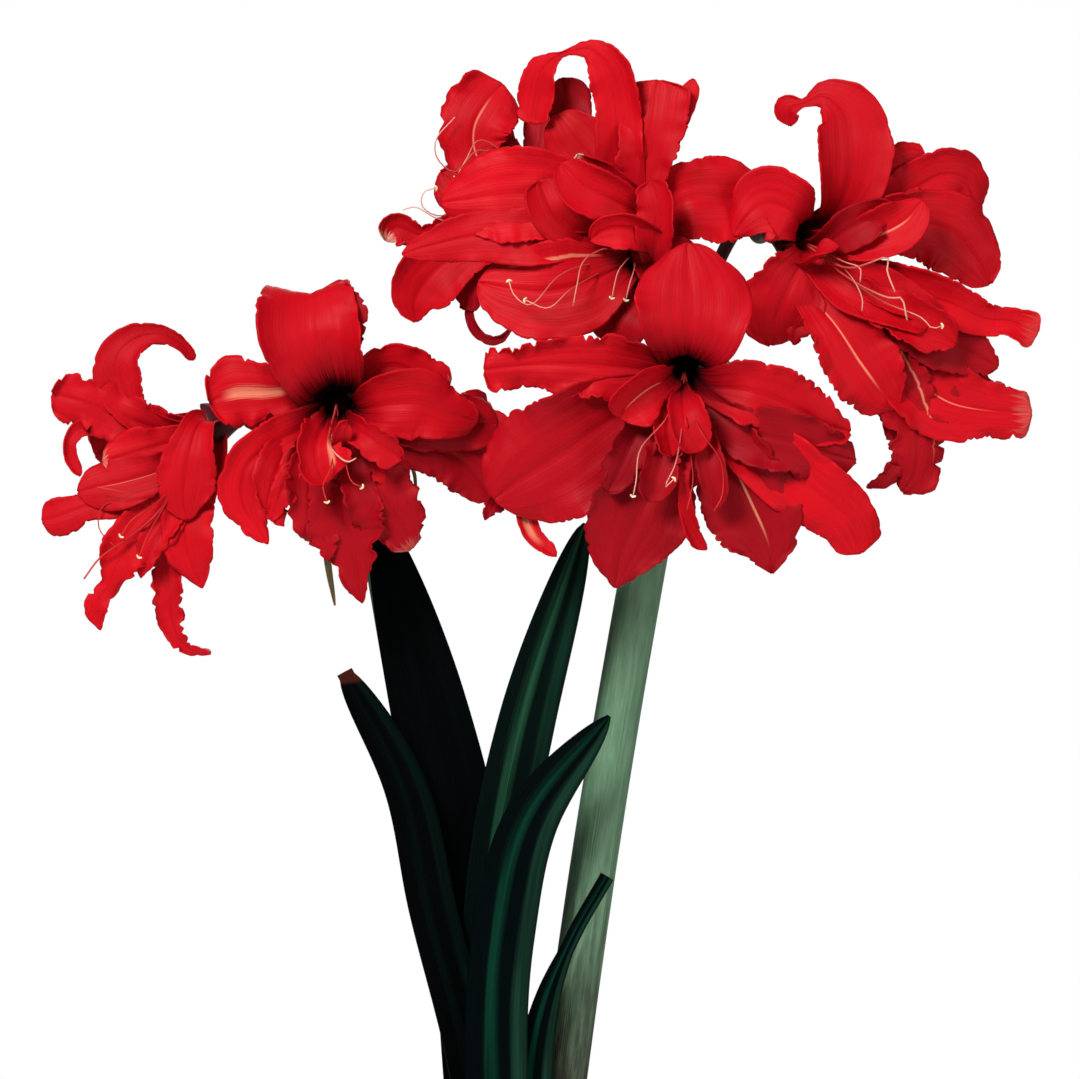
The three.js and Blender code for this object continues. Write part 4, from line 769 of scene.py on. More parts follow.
BLOOM_TOP_LEFT = {
    "face": (4, 34, 694), "axis": (-0.8, 0.2, -0.35), "look": (-0.15, 0, 1),
    "petals": [
        petal((-12.6, 7.3, 4, 9), (-23.6, 17.3, 6, 15.5), (-25.6, 31.3, 6, 18.8), (-19.1, 44.9, 4, 18.8),
              (-11.1, 54.5, 0, 12.3), rag=1.4, streak=1),
        petal((-10.1, 3.8, 2, 9), (-22.6, 1.3, 4, 15.5), (-35.1, 3.8, 4, 13.4), (-42.7, 10.3, 2, 6.9),
              rag=0.8),
        petal((-12.6, -11.3, 6, 9), (-35.1, -17.8, 8, 9), (-52.7, -21.9, 8, 6.3), (-65.2, -18.3, 8, 10.1),
              (-69.7, -24.4, 8, 5.4), cup=0.5, rag=0.8, pale=0.6),
        petal((-10.1, -18.8, 4, 9), (-31.6, -30.9, 6, 14.4), (-47.7, -42.9, 6, 18.8),
              (-54.7, -53.9, 4, 13.9), (-54.7, -64.9, 2, 3.8), cup=0.3, rag=0.6),
        petal((-22.6, -46.3, 2, 3.2), (-27.6, -56.4, 2, 2.6), (-25.6, -67.9, 2, 2.6),
              (-19.6, -73.4, 2, 2.8), (-12.6, -73.4, 2, 2.2), (-6.5, -67.9, 2, 1), cup=0.4, rag=0.5,
              tone=0.1),
        petal((2.5, 14, -4, 6.9), (10, 31.6, -8, 11.2), (11.5, 46.7, -10, 11.2), (7.5, 54.8, -12, 6.9),
              tone=0.2),
        petal((-10, 16, -16, 16.4), (-24, 26, -34, 20.5), (-36, 28, -48, 11.7), look=None),
        petal((-16, -2, -18, 14.2), (-34, -6, -36, 19.9), (-42, -14, -54, 11.1), look=None),
        petal((-6, -16, -14, 14.2), (-20, -32, -30, 19.9), (-34, -42, -44, 11.1), look=None),
        petal((-18, 6, -4, 12.1), (-34, 12, -8, 12.5), (-44, 8, -16, 7.4), cup=0.4, look=None),
        petal((-5, 13.9, 0, 5.4), (-11.6, 24.8, 4, 8), (-9.6, 35.4, 4, 4.3), tone=0.0),
        petal((-7.5, -28.8, 2, 5.4), (-22.6, -42.9, 4, 8.5), (-27.1, -52.4, 4, 8.5),
              (-25.1, -59.4, 3, 3.8), rag=1.2, tone=0.2),
    ],
    "stamens": [
        stamen((-22.6, 21.2, 12), (-35.1, 10.2, 12), (-44.1, 17.2, 12), (-44.6, 26.2, 12),
               (-35.1, 37.7, 12)),
        stamen((-27.6, -3.9, 12), (-42.6, -11.9, 12), (-51.6, -6.9, 12), (-50.6, 0.1, 12),
               (-44.6, 2.1, 12), anther=True),
        stamen((-27.6, -16.4, 12), (-44.6, -12.9, 12), (-55.1, -7.4, 12), (-61.2, -8.9, 12)),
        stamen((-22.6, 26.2, 12), (-29.6, 16.2, 12), (-34.6, 7.1, 12), anther=True),
    ],
}
BLOOM_UPPER = {
    "face": (55, -46, 662), "axis": (-0.15, 0.05, 1),
    "petals": [
        petal((0.3, 22.1, -4, 10.1), (-3.2, 49.4, -2, 13.4), (-4.7, 75.2, 2, 12.8), (-9.2, 91.6, 4, 12.3),
              (-18.6, 101.6, 2, 6), (-32.1, 99.6, 0, 1.6), (-41.5, 92.8, -4, 8), (-45, 79.4, -8, 10.7),
              (-47.5, 65, -10, 9), cup=0.1, rag=0.5),
        petal((3.3, 19.5, -2, 9), (8.7, 44.4, 2, 14.4), (13.2, 66.7, 4, 17.1), (15.7, 86.6, 2, 17.7),
              rag=0.9),
        petal((13.8, 18.1, -6, 10.1), (29.2, 26, -2, 20.9), (47.1, 27.1, -6, 22.5),
              (62.1, 24.7, -12, 16.6), (70.7, 21.3, -18, 9), rag=0.8),
        petal((-13.6, 20.9, 4, 12.3), (-38.5, 28.8, 8, 23.1), (-63.4, 28.8, 8, 24.2),
              (-82.3, 26.4, 4, 15.5), (-92.8, 25.5, 0, 8), rag=0.6),
        petal((-14.7, 9.5, 6, 9), (-43.5, 8.4, 10, 15.5), (-73.3, 8.9, 8, 13.4), (-98.2, 4, 4, 8),
              (-112.2, 0.1, 2, 2.2), rag=0.3),
        petal((-2.7, -6, 8, 10.1), (-21.1, -15, 12, 24.2), (-41, -19, 12, 25.2), (-59.4, -17.4, 8, 18.8),
              (-74.3, -13.9, 4, 8), rag=0.5, streak=1.2, rib=0.62),
        petal((3.8, -15.4, 6, 10.1), (-4.7, -28.9, 8, 18.8), (-13.6, -41.8, 4, 13.4), tone=0.4),
        petal((7.2, 17.8, 12, 6.9), (-7.7, 26.2, 18, 13.4), (-22.6, 33.6, 20, 13.9), (-33.1, 45, 18, 6.9),
              cup=0.4),
        petal((12.2, 5.8, 16, 6.9), (1.2, 12.2, 20, 10.1), (-10.7, 11.7, 20, 9), (-18.7, 6.8, 18, 3.2),
              cup=0.4),
        petal((-2.7, 24.6, -8, 9), (-16.1, 44, -8, 16.6), (-28.1, 59, -10, 15.5), (-35.5, 70, -12, 8),
              rag=0.4),
        petal((-11.1, 24.7, -14, 6.9), (-25.1, 59.7, -18, 9), (-30, 78.1, -18, 11.7),
              (-33, 88.1, -18, 7.4), tone=0.15),
        petal((22.2, 61.8, 1, 5.4), (29.7, 76.7, 1, 5.4), (33.1, 87.2, 0, 3.5), rag=0.4),
        petal((11.2, -4.1, 12, 5.4), (14.6, 9.3, 18, 11.2), (14.6, 23.6, 20, 11.7), (11.1, 36.1, 18, 8),
              cup=0.4, rag=0.6),
        petal((6.2, 7, 4, 9), (18.7, -3.9, 4, 15.5), (31.2, -8.9, 0, 14.4), tone=0.4),
        petal((1.3, 26.8, 8, 8), (-13.7, 37.7, 12, 11.2), (-22.6, 45.6, 14, 6.9), (-24.6, 49.6, 14, 2.7),
              cup=0.4, pale=0.6),
        petal((-18.6, 6.9, 8, 9), (-35.5, 19.8, 14, 14.4), (-43.5, 36.7, 12, 10.1), cup=0.3),
    ],
    "stamens": [
        stamen((-13.7, 1.7, 26), (-22.2, -4.3, 30), (-25.1, -15.7, 28), (-27.1, -26.1, 26)),
        stamen((-1.3, -4.2, 24), (-4.8, -9.2, 28), (-7.8, -22.1, 26), anther=True),
        stamen((3.2, -8.2, 22), (0.7, -16.2, 26), (-0.8, -23.1, 24), anther=True),
        stamen((-33.6, -10.7, 26), (-48.5, -25.6, 26), (-56.4, -20.6, 26), (-58.9, -13.7, 26),
               anther=True),
        stamen((-28.6, -18.1, 26), (-39.5, -27.1, 26), (-50.9, -23.1, 26), anther=True),
    ],
}
BLOOM_LOWER = {
    "face": (84, -92, 601), "axis": (0.05, -0.15, 1),
    "petals": [
        petal((0.8, 9.9, 4, 16.6), (2.2, 21.7, 8, 26.9), (3.2, 36.6, 8, 30.6), (1.8, 52.5, 4, 23.6),
              (0.3, 65.9, -2, 8), rag=0.3),
        petal((-15.6, 1.9, 4, 11.2), (-37.9, 4.4, 8, 17.7), (-61.6, 5.4, 8, 15), (-81.4, 4.9, 4, 10.7),
              (-100.2, 3, 2, 12.3), rag=1.4),
        petal((-15.5, -9.4, 0, 12.3), (-36.8, -21.8, 2, 26.3), (-61.6, -39.1, 2, 31.7),
              (-83.9, -53, -2, 25.2), (-95.3, -61.4, -6, 11.2), rag=0.7, tone=0.42),
        petal((12.7, -6, 4, 10.1), (30.5, -7.5, 8, 16.6), (50.3, -14.4, 8, 17.1), (68.1, -23.8, 4, 11.7),
              (81.1, -27.7, 0, 6.9), rag=1),
        petal((9.2, -11.9, 2, 6.9), (27.5, -26.8, 6, 14.4), (50.3, -32.2, 6, 16.6), (70.1, -38.7, 2, 13.4),
              (84.1, -42.1, -2, 6.9), rag=1.2, tone=0.1),
        petal((14.2, -16.8, -2, 9), (36.5, -36.7, 2, 17.7), (59.7, -55, 2, 18.8), (80.6, -72.3, -2, 15),
              (87.1, -87.7, -8, 11.7), rag=0.4),
        petal((6.8, -14.4, -2, 9), (21.6, -41.6, 2, 20.9), (32.5, -63.9, 2, 25.2), (40.5, -82.7, 0, 17.1),
              (42.5, -97.6, -2, 2.2), rag=1, tone=0.1, streak=1),
        petal((-3.1, -16.8, -2, 9), (-13.1, -41.6, 2, 20.9), (-22.5, -66.4, 2, 26.3),
              (-31.9, -87.2, 0, 18.8), (-35.3, -105, -2, 3.2), rag=0.8, tone=0.1),
        petal((-1.7, -9, 12, 5.4), (-0.8, -18.4, 18, 10.7), (2.6, -29.3, 20, 12.3), (7.6, -37.2, 20, 8),
              cup=0.5),
        petal((-8.2, -2.1, 12, 6.9), (-20.6, -7.6, 20, 13.9), (-28.5, -14.5, 22, 13.9),
              (-33.4, -21.4, 20, 7.4), cup=0.4, streak=0.8),
        petal((-13.1, -12.9, 8, 5.4), (-25.5, -30.3, 12, 11.2), (-33.4, -46.6, 12, 10.1),
              (-38.8, -57.5, 10, 4.3), cup=0.4, rag=1, tone=0.0),
        petal((1.7, -31.8, 12, 3.2), (-1.3, -51.6, 14, 3.9), (-0.3, -66.4, 12, 4.1), (5.2, -81.2, 8, 4.1),
              (10.2, -85.7, 6, 1.9), cup=0.4, rag=0.6),
        petal((-60.1, -46.5, -14, 4.3), (-79.9, -62.9, -14, 4.9), (-77.5, -77.3, -12, 5.4),
              (-64.6, -89.2, -8, 3.5), cup=0.4, streak=14),
        petal((-6.7, -12, 12, 5.4), (-9.2, -26.9, 18, 10.1), (-7.2, -39.7, 18, 6.9), cup=0.4),
        petal((-5.2, -17.9, 8, 6.9), (-11.2, -36.7, 14, 10.1), (-15.1, -52.1, 16, 10.7),
              (-19.1, -62, 14, 5.4), cup=0.4, rag=1, tone=0.2),
        petal((7.7, -21.8, 8, 4.3), (11.1, -41.7, 14, 8), (14.1, -56.5, 14, 6.9), (15.1, -65.9, 12, 1.9),
              cup=0.4, tone=0.2),
        petal((-62.6, -61.4, -4, 6.9), (-51.7, -65.4, -4, 5.4), (-41.3, -66.4, -4, 1.6), streak=2),
        petal((-47.7, -50.5, 0, 5.4), (-42.8, -56.5, 0, 4.3), (-35.8, -59.5, 0, 1.6), rag=1),
        petal((-92.3, -61.4, -8, 5.4), (-97.3, -67.4, -8, 4.3), (-99.8, -71.3, -8, 2.2), rag=1.5,
              tone=0.1),
    ],
    "stamens": [
        stamen((-10.7, -21.9, 24), (-23.1, -36.8, 28), (-25.1, -52.6, 28), (-26.6, -59.5, 28),
               anther=True),
        stamen((-3.3, -31.8, 26), (-5.8, -44.2, 28), (-10.8, -55.1, 28), (-6.3, -51.1, 30), anther=True),
        stamen((6.6, -26.9, 24), (16.9, -42.7, 26), (17.4, -59.5, 24), (13.5, -66.9, 22), red=True),
        stamen((1.7, -36.8, 20), (3.1, -51.6, 22), (0.2, -66.4, 20), red=True),
    ],
}
BLOOM_RIGHT = {
    "face": (148, -32, 669), "axis": (0.5, -0.1, 0.8), "look": (0.2, 0, 1), "outside": 0.09,
    "petals": [
        petal((12.1, 12.8, -2, 9), (18, 30.1, 2, 18.8), (19.4, 49, 4, 21.5), (16, 64, 2, 17.1),
              (5, 72.5, 0, 8.5), (-5.4, 68.6, -2, 2.6), (-12.3, 65.6, -4, 8), (-11.8, 57.2, -6, 4.9),
              cup=0.1, rag=0.3),
        petal((-4, 7.1, 8, 9), (-12.1, 14, 14, 17.7), (-24.5, 17.5, 14, 18.8), (-35, 9.5, 14, 10.1),
              (-40.4, 2.1, 12, 4.3), rag=0.6),
        petal((-1, -7.3, 6, 9), (-11.5, -22.3, 8, 19.8), (-18.5, -39.7, 6, 19.8), (-21.4, -52.1, 2, 10.1),
              rag=1.2),
        petal((15.6, 12.8, -6, 9), (33.1, 24.3, -8, 14.4), (47.1, 37.3, -10, 13.4), (57.2, 38.4, -14, 8),
              rag=0.8, tone=0.8),
        petal((18.1, 7.9, -8, 9), (42.1, 19.3, -8, 15.5), (64.1, 32.4, -12, 13.4), (77.2, 29, -18, 13.9),
              (80.8, 13.6, -22, 9), rag=0.5, tone=0.85),
        petal((18.1, 2.8, -4, 9), (44, 8.3, -2, 16.6), (67, 4.4, -6, 21.5), (80.1, -8.5, -12, 16.6),
              (88.1, -21.5, -16, 6.9), rag=0.8),
        petal((-1, -24.7, 6, 9), (10.8, -42.7, 12, 15.5), (23.8, -62.2, 14, 19.8), (35.3, -77.6, 10, 13.9),
              (41.3, -83.5, 6, 4.3), rag=1, streak=1.2),
        petal((18, -29.6, 0, 9), (36.4, -59.6, 4, 15.5), (47.8, -84.5, 4, 15.5), (52.4, -101.9, 2, 14.4),
              (50.4, -116.4, 0, 13.4), (44, -125.3, -2, 5.4), rag=1.8, tone=0.35, streak=1.6, rib=-0.55),
        petal((45.4, -103.4, 2, 4.9), (41.4, -113.4, 2, 4.3), (33.9, -119.4, 2, 4.3),
              (26.4, -123.3, 2, 2.2), rag=1.5, tone=0.2),
        petal((23, -34.6, -2, 9), (43.9, -62, 0, 19.8), (65.9, -80, 0, 20.9), (88.8, -84.9, -2, 13.9),
              (108.8, -85.9, -4, 12.3), rag=0.9, streak=0.6, pale=0.12),
        petal((17.9, -14.7, 4, 9), (42.8, -24.7, 8, 14.4), (67.7, -32.2, 6, 13.4), (85.2, -39.6, 2, 9.6),
              (97.7, -40.6, 0, 8.5), (111.8, -46.1, -2, 11.7), cup=0.4, rag=0.4, pale=0.06),
        petal((23, -24.7, 2, 9), (52.8, -42.1, 4, 16.6), (75.3, -54.6, 2, 13.9), (91.8, -63, 0, 4.3),
              rag=0.9, tone=0.2),
        petal((10.4, -0.8, 8, 6.9), (27.7, 1.1, 14, 13.4), (45.1, 9, 16, 13.4), (54.1, 20, 14, 5.4),
              cup=0.4, streak=1.4),
        petal((3, -10.8, 6, 8), (17.8, -22.3, 10, 15.5), (38.7, -30.3, 12, 15.5), (58.6, -39.7, 12, 10.1),
              cup=0.3, tone=0.8),
        petal((17.8, -22.3, 10, 6.9), (43.7, -37.8, 14, 13.4), (60.6, -46.7, 14, 12.3),
              (70.6, -51.7, 12, 4.3), cup=0.4, rag=1),
        petal((4, -18, -16, 13.6), (14, -40, -26, 18.9), (26, -60, -34, 10.5), look=(0.3, 0, -1)),
        petal((-2, -34.7, 4, 6.9), (-9, -44.6, 4, 6.9), (-10, -52.1, 4, 2.7), rag=1.5),
        petal((45.5, -54.5, -2, 9), (70.4, -67, -2, 12.3), (87.9, -75, -4, 6.9), (95.4, -72, -5, 3.2),
              rag=1, tone=0.1),
        petal((7.9, -2.4, 10, 6.9), (20.2, 7, 16, 12.3), (32.7, 13, 16, 9), (39.2, 10, 14, 3.2), cup=0.4,
              tone=0.2),
        petal((0.3, -11.9, 16, 4.3), (5.3, -6, 20, 7.4), (12.2, -3.5, 22, 5.4), cup=0.5),
        petal((26.9, -44.6, 6, 6.9), (35.3, -62.1, 8, 8), (39.3, -77, 6, 4.3), tone=0.3, streak=2,
              rib=0.2),
    ],
    "stamens": [
        stamen((17.6, -14, 26), (36.4, -9.1, 30), (35.9, -15.1, 32), (39.9, -26, 30), thick=0.7),
        stamen((22.6, -22.5, 26), (37.4, -29, 30), (42.9, -29, 30), (45.9, -39.9, 28), thick=0.7),
        stamen((15.1, -11.1, 26), (22.5, -14.1, 28), (22.6, -21, 26)),
        stamen((32.5, -29.9, 24), (53.4, -38.9, 26), (58.4, -43.9, 26), (63.4, -42.8, 24), anther=True),
        stamen((17.6, -17.5, 24), (23.6, -29, 26), (23.6, -35.4, 24)),
    ],
}
BLOOMS = {
    "bloom_left": BLOOM_LEFT, "bloom_front": BLOOM_FRONT, "bloom_back": BLOOM_BACK,
    "bloom_top_left": BLOOM_TOP_LEFT, "bloom_upper": BLOOM_UPPER, "bloom_lower": BLOOM_LOWER,
    "bloom_right": BLOOM_RIGHT,
}
LEFT_BLOOMS = [BLOOM_LEFT, BLOOM_FRONT, BLOOM_BACK]
RIGHT_BLOOMS = [BLOOM_TOP_LEFT, BLOOM_UPPER, BLOOM_LOWER, BLOOM_RIGHT]
scape("left", LEFT_FOOT, LEFT_BEND, LEFT_UMBEL, LEFT_SCAPE_RADIUS, LEFT_BLOOMS)
scape("right", RIGHT_FOOT, RIGHT_BEND, RIGHT_UMBEL, RIGHT_SCAPE_RADIUS, RIGHT_BLOOMS)

# The leaves: five thick dark straps, channelled at the foot and bluntly pointed, with a satin skin.
# They fan out of the bulb's neck, and the second one's tip has dried and been cut.
LEAVES = {
    "leaf_1": {"half": 20.5, "skin": "faint_sheen",
               "path": [(-10, -1, 154.5), (-16, -2, 250), (-25, -3, 350), (-43.6, -4, 434), (-71, -7, 537)]},
    "leaf_2": {"half": 12, "blunt": 0.35, "tip": 0.34, "skin": "cut",
               "path": [(-12, -14, 154.5), (-21, -15, 250), (-42, -17, 336), (-56, -20, 398),
                        (-86, -27, 454)]},
    "leaf_3": {"half": 15, "blunt": 0.5, "skin": "strong_sheen",
               "path": [(-3, -8, 154.5), (-12, -9, 250), (-10.5, -11, 345), (4.5, -15, 428), (34, -26, 528)]},
    "leaf_4": {"half": 15.5, "skin": "mid_sheen",
               "path": [(-1, -21, 154.5), (-10, -23, 250), (-7, -25, 320), (7, -28, 380), (46, -35, 432)]},
    "leaf_5": {"half": 10.5, "taper": 0.3, "blunt": 1.6, "tip": 0.34, "skin": "mid_sheen",
               "path": [(9, -18, 154.5), (8, -17, 250), (15, -18, 290), (28, -21, 322), (45, -26, 352)]},
}
LEAF_THICKNESS = 2.2 * MM
LEAF_EDGE = 0.5 * MM
LEAF_GRID = (110, 22)
LEFT_FLANK = (0.86, 0.20)
RIGHT_FLANK = (0.40, 0.16)
LEAF_NIGHT = (0.0004, 0.0010, 0.0011, 1)
DRIED_TIP = (0.060, 0.012, 0.008, 1)
# Each leaf's skin: a dark base and how strong the painted green highlights along its flanks are; the cut one
# also has a dried tip.
LEAF_SKINS = {
    "faint_sheen": {"dark": LEAF_NIGHT, "left_painted_sheen": (0.0008, 0.0020, 0.0022, 1),
             "right_painted_sheen": (0.0006, 0.0016, 0.0018, 1), "dried": 0.0},
    "cut": {"dark": LEAF_NIGHT, "left_painted_sheen": (0.0012, 0.0075, 0.0055, 1),
            "right_painted_sheen": (0.0008, 0.0040, 0.0034, 1), "dried": 0.9},
    "strong_sheen": {"dark": (0.0012, 0.0050, 0.0040, 1), "left_painted_sheen": (0.0060, 0.030, 0.017, 1),
               "right_painted_sheen": (0.018, 0.085, 0.042, 1), "dried": 0.0},
    "mid_sheen": {"dark": (0.0005, 0.0022, 0.0024, 1), "left_painted_sheen": (0.010, 0.042, 0.026, 1),
              "right_painted_sheen": (0.0030, 0.042, 0.024, 1), "dried": 0.0},
}


def leaf_material(name, dark, left_painted_sheen, right_painted_sheen, dried):
    """A nearly black skin with a painted green highlight band on each side of the dark channel, and a dried
    tip or none.
    """
    skin, tree, shader = new_material(name, Roughness=0.55, Specular_IOR_Level=0.02)
    lines, bands, u, v = streaks(tree, (1.2, 60.0, 1.0), (2.5, 7.0, 1.0))
    drift = worked(tree, "MULTIPLY", worked(tree, "SUBTRACT", bands, 0.5), 0.08)
    place = worked(tree, "ADD", v, drift)
    green = dark
    # Painted highlights: a green sheen band along each flank, broken by the broad streaks.
    for (middle, reach), glow in ((LEFT_FLANK, left_painted_sheen), (RIGHT_FLANK, right_painted_sheen)):
        away = worked(tree, "ABSOLUTE", worked(tree, "SUBTRACT", place, middle))
        broken = ranged(tree, bands, 0.0, 0.8, 0.55, 1.0)
        flank = worked(tree, "MULTIPLY", ranged(tree, away, reach, 0.0), broken)
        green = mixed(tree, flank, green, glow)
    green = mixed(tree, worked(tree, "MULTIPLY", lines, 0.35), green, dark)
    slanted = worked(tree, "ADD", u, worked(tree, "MULTIPLY", v, 0.012))
    tip = worked(tree, "MULTIPLY", ranged(tree, slanted, 0.982, 0.992), dried)
    green = mixed(tree, tip, green, DRIED_TIP)
    tree.links.new(green, shader.inputs["Base Color"])
    tree.links.new(ranged(tree, lines, 0.0, 1.0, 0.48, 0.60), shader.inputs["Roughness"])
    bumped(tree, shader, lines, 0.0005, 0.6)
    return skin


def leaf_shape(spec):
    blunt = spec.get("blunt", 0.6)
    taper = spec.get("taper", 0.6)

    def shape(u, v):
        root = min(1, 0.62 + u * 1.6)
        beyond = max(0, (u - taper) / (1 - taper))
        half = spec["half"] * MM * max(root * (1 - beyond ** 2) ** blunt, spec.get("tip", 0.05))
        cup = 0.16 - 0.04 * u
        keel = -0.05 * math.exp(-(v / 0.12) ** 2)
        rib = 0.008 * math.cos(v * 34)
        sway = 0.05 * math.sin(u * 8 + v) * abs(v) ** 2
        return v * half, half * (cup * v * v + keel + rib + sway)
    return shape


def leaves():
    skins = {kind: leaf_material("leaf_" + kind, **look) for kind, look in LEAF_SKINS.items()}
    for name, spec in LEAVES.items():
        bm = bmesh.new()
        add_blade(bm, in_metres(spec["path"]), TOWARDS_FRONT, leaf_shape(spec), *LEAF_GRID)
        strap = thin_sheet("strap_" + name, bm, skins[spec["skin"]], LEAF_THICKNESS)
        rounding = strap.modifiers.new("edge", "BEVEL")
        rounding.width = LEAF_EDGE
        rounding.segments = 2
        rounding.limit_method = "ANGLE"
        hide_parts(name)


leaves()

# The blooms: double trumpets of broad satin red petals round a throat painted with shade to near black.
# Narrow petaloids and a few stamens with cream anthers fill the middle of each.
# Each bloom is one growth: its petals spring from the rim of a maroon tube on the ovary.
PETAL_THICKNESS = 0.7 * MM
OUTER_ROOT_RING = 8 * MM
INNER_ROOT_RING = 5.5 * MM
PETAL_ROOT_DEPTH = 6 * MM
PETAL_ROOT_HALF = 2 * MM
BROAD_PETAL = 18.5 * MM
TIP_ROUNDING = 5 * MM
THROAT_RIM = 0.2
THROAT_REACH = 4 * MM
ROOT_CUP = 0.55
TIP_CUP = -0.15
RAGGED = 0.3
MARGIN_TEAR = 1.8 * MM
FINE_TEAR = 0.7 * MM
NOTCH_DEPTH = 2.2 * MM
FRILL_HEIGHT = 4.5 * MM
FINE_FRILL = 1.5 * MM
MIDRIB_DEPTH = 0.9 * MM
VEIN_HEIGHT = 0.10 * MM
SWELL_HEIGHT = 1.3 * MM
STEP_ALONG = 1.3 * MM
STEP_ACROSS = 1.5 * MM
LENGTH_STEPS = 40
LEAST_STEPS = (24, 10)
TEAR_RUN = 9 * MM
FRILL_RUN = 15 * MM
FINE_FRILL_RUN = 5.5 * MM
SWELL_RUN = 16 * MM
SWELL_WIDTH = 12 * MM
# Petal colours: the shaded and lit reds and the two throat colours are painted shade; the band, line, rib and
# tip colours are the petals' own.
PETAL_SHADED = (0.25, 0.0012, 0.0060, 1)
PETAL_LIT = (0.58, 0.0022, 0.0085, 1)
PETAL_BAND = (0.32, 0.0012, 0.006, 1)
PETAL_LINE = (0.22, 0.001, 0.005, 1)
THROAT_SHADE = (0.10, 0.001, 0.004, 1)
SHADE_NEAR_BLACK = (0.010, 0.0006, 0.0014, 1)
RIB_SALMON = (0.78, 0.25, 0.15, 1)
TIP_CREAM = (0.86, 0.62, 0.46, 1)


def widths_along(points, halves):
    """A smooth half width for any share of the way along a path, through a value at each point."""
    _, _, shares = through(points, 1)

    def half_at(u):
        k = 0
        while k < len(shares) - 2 and u > shares[k + 1]:
            k += 1
        run = shares[k + 1] - shares[k]
        t = min(max((u - shares[k]) / run, 0), 1)
        before = (halves[k + 1] - halves[max(k - 1, 0)]) / (shares[k + 1] - shares[max(k - 1, 0)]) * run
        after_k = min(k + 2, len(halves) - 1)
        after = (halves[after_k] - halves[k]) / (shares[after_k] - shares[k]) * run
        return (halves[k] * (2 * t ** 3 - 3 * t ** 2 + 1) + before * (t ** 3 - 2 * t ** 2 + t)
                + halves[k + 1] * (3 * t ** 2 - 2 * t ** 3) + after * (t ** 3 - t ** 2))
    return half_at


def petal_shape(form, half_at, length, phase, seed):
    """A petal's sideways place and lift: its torn margin, cup, frill, midrib, veins and swells."""
    rag = form.get("rag", RAGGED)

    def margin(u, v, run):
        half = max(half_at(u), 0.4 * MM)
        beyond = max(0, (run - length + TIP_ROUNDING) / TIP_ROUNDING)
        half *= max((1 - beyond ** 2) ** 0.5, 0.12)
        rim = Vector((run / TEAR_RUN, math.copysign(4, v), seed))
        notch = max(0, 1 - abs(noise.noise(rim * 1.3)) * 7) ** 1.5
        tear = noise.noise(rim) * MARGIN_TEAR + noise.noise(rim * 4.9) * FINE_TEAR - notch * NOTCH_DEPTH
        return half + tear * rag * v ** 2 * eased(u, 0.2, 0.5) * min(1, half / (6 * MM))

    def shape(u, v):
        edge = abs(v)
        run = u * length
        half = margin(u, v, run)
        cup = ROOT_CUP + (form.get("cup", TIP_CUP) - ROOT_CUP) * u
        wave = math.sin(3 * math.pi * u + phase + (2.1 if v > 0 else 0))
        lift = half * (cup * v * v + 0.22 * wave * edge ** 3 * u)
        frill = noise.noise(Vector((run / FRILL_RUN, math.copysign(3, v), seed + 2))) * FRILL_HEIGHT
        frill += noise.noise(Vector((run / FINE_FRILL_RUN, v * 2, seed))) * FINE_FRILL
        frill *= (0.45 + rag) * edge ** 3 * eased(u, 0.15, 0.6)
        crease = VEIN_HEIGHT * math.cos(v * 26 + seed) - MIDRIB_DEPTH * math.exp(-(v / 0.08) ** 2)
        swell = noise.noise(Vector((run / SWELL_RUN, v * half / SWELL_WIDTH, seed + 5))) * SWELL_HEIGHT
        fold = (crease + swell) * eased(u, 0.05, 0.3) * min(1, half / (8 * MM))
        inward = 1 - 0.28 * abs(cup) * v * v
        return v * half * inward, lift + frill + fold
    return shape


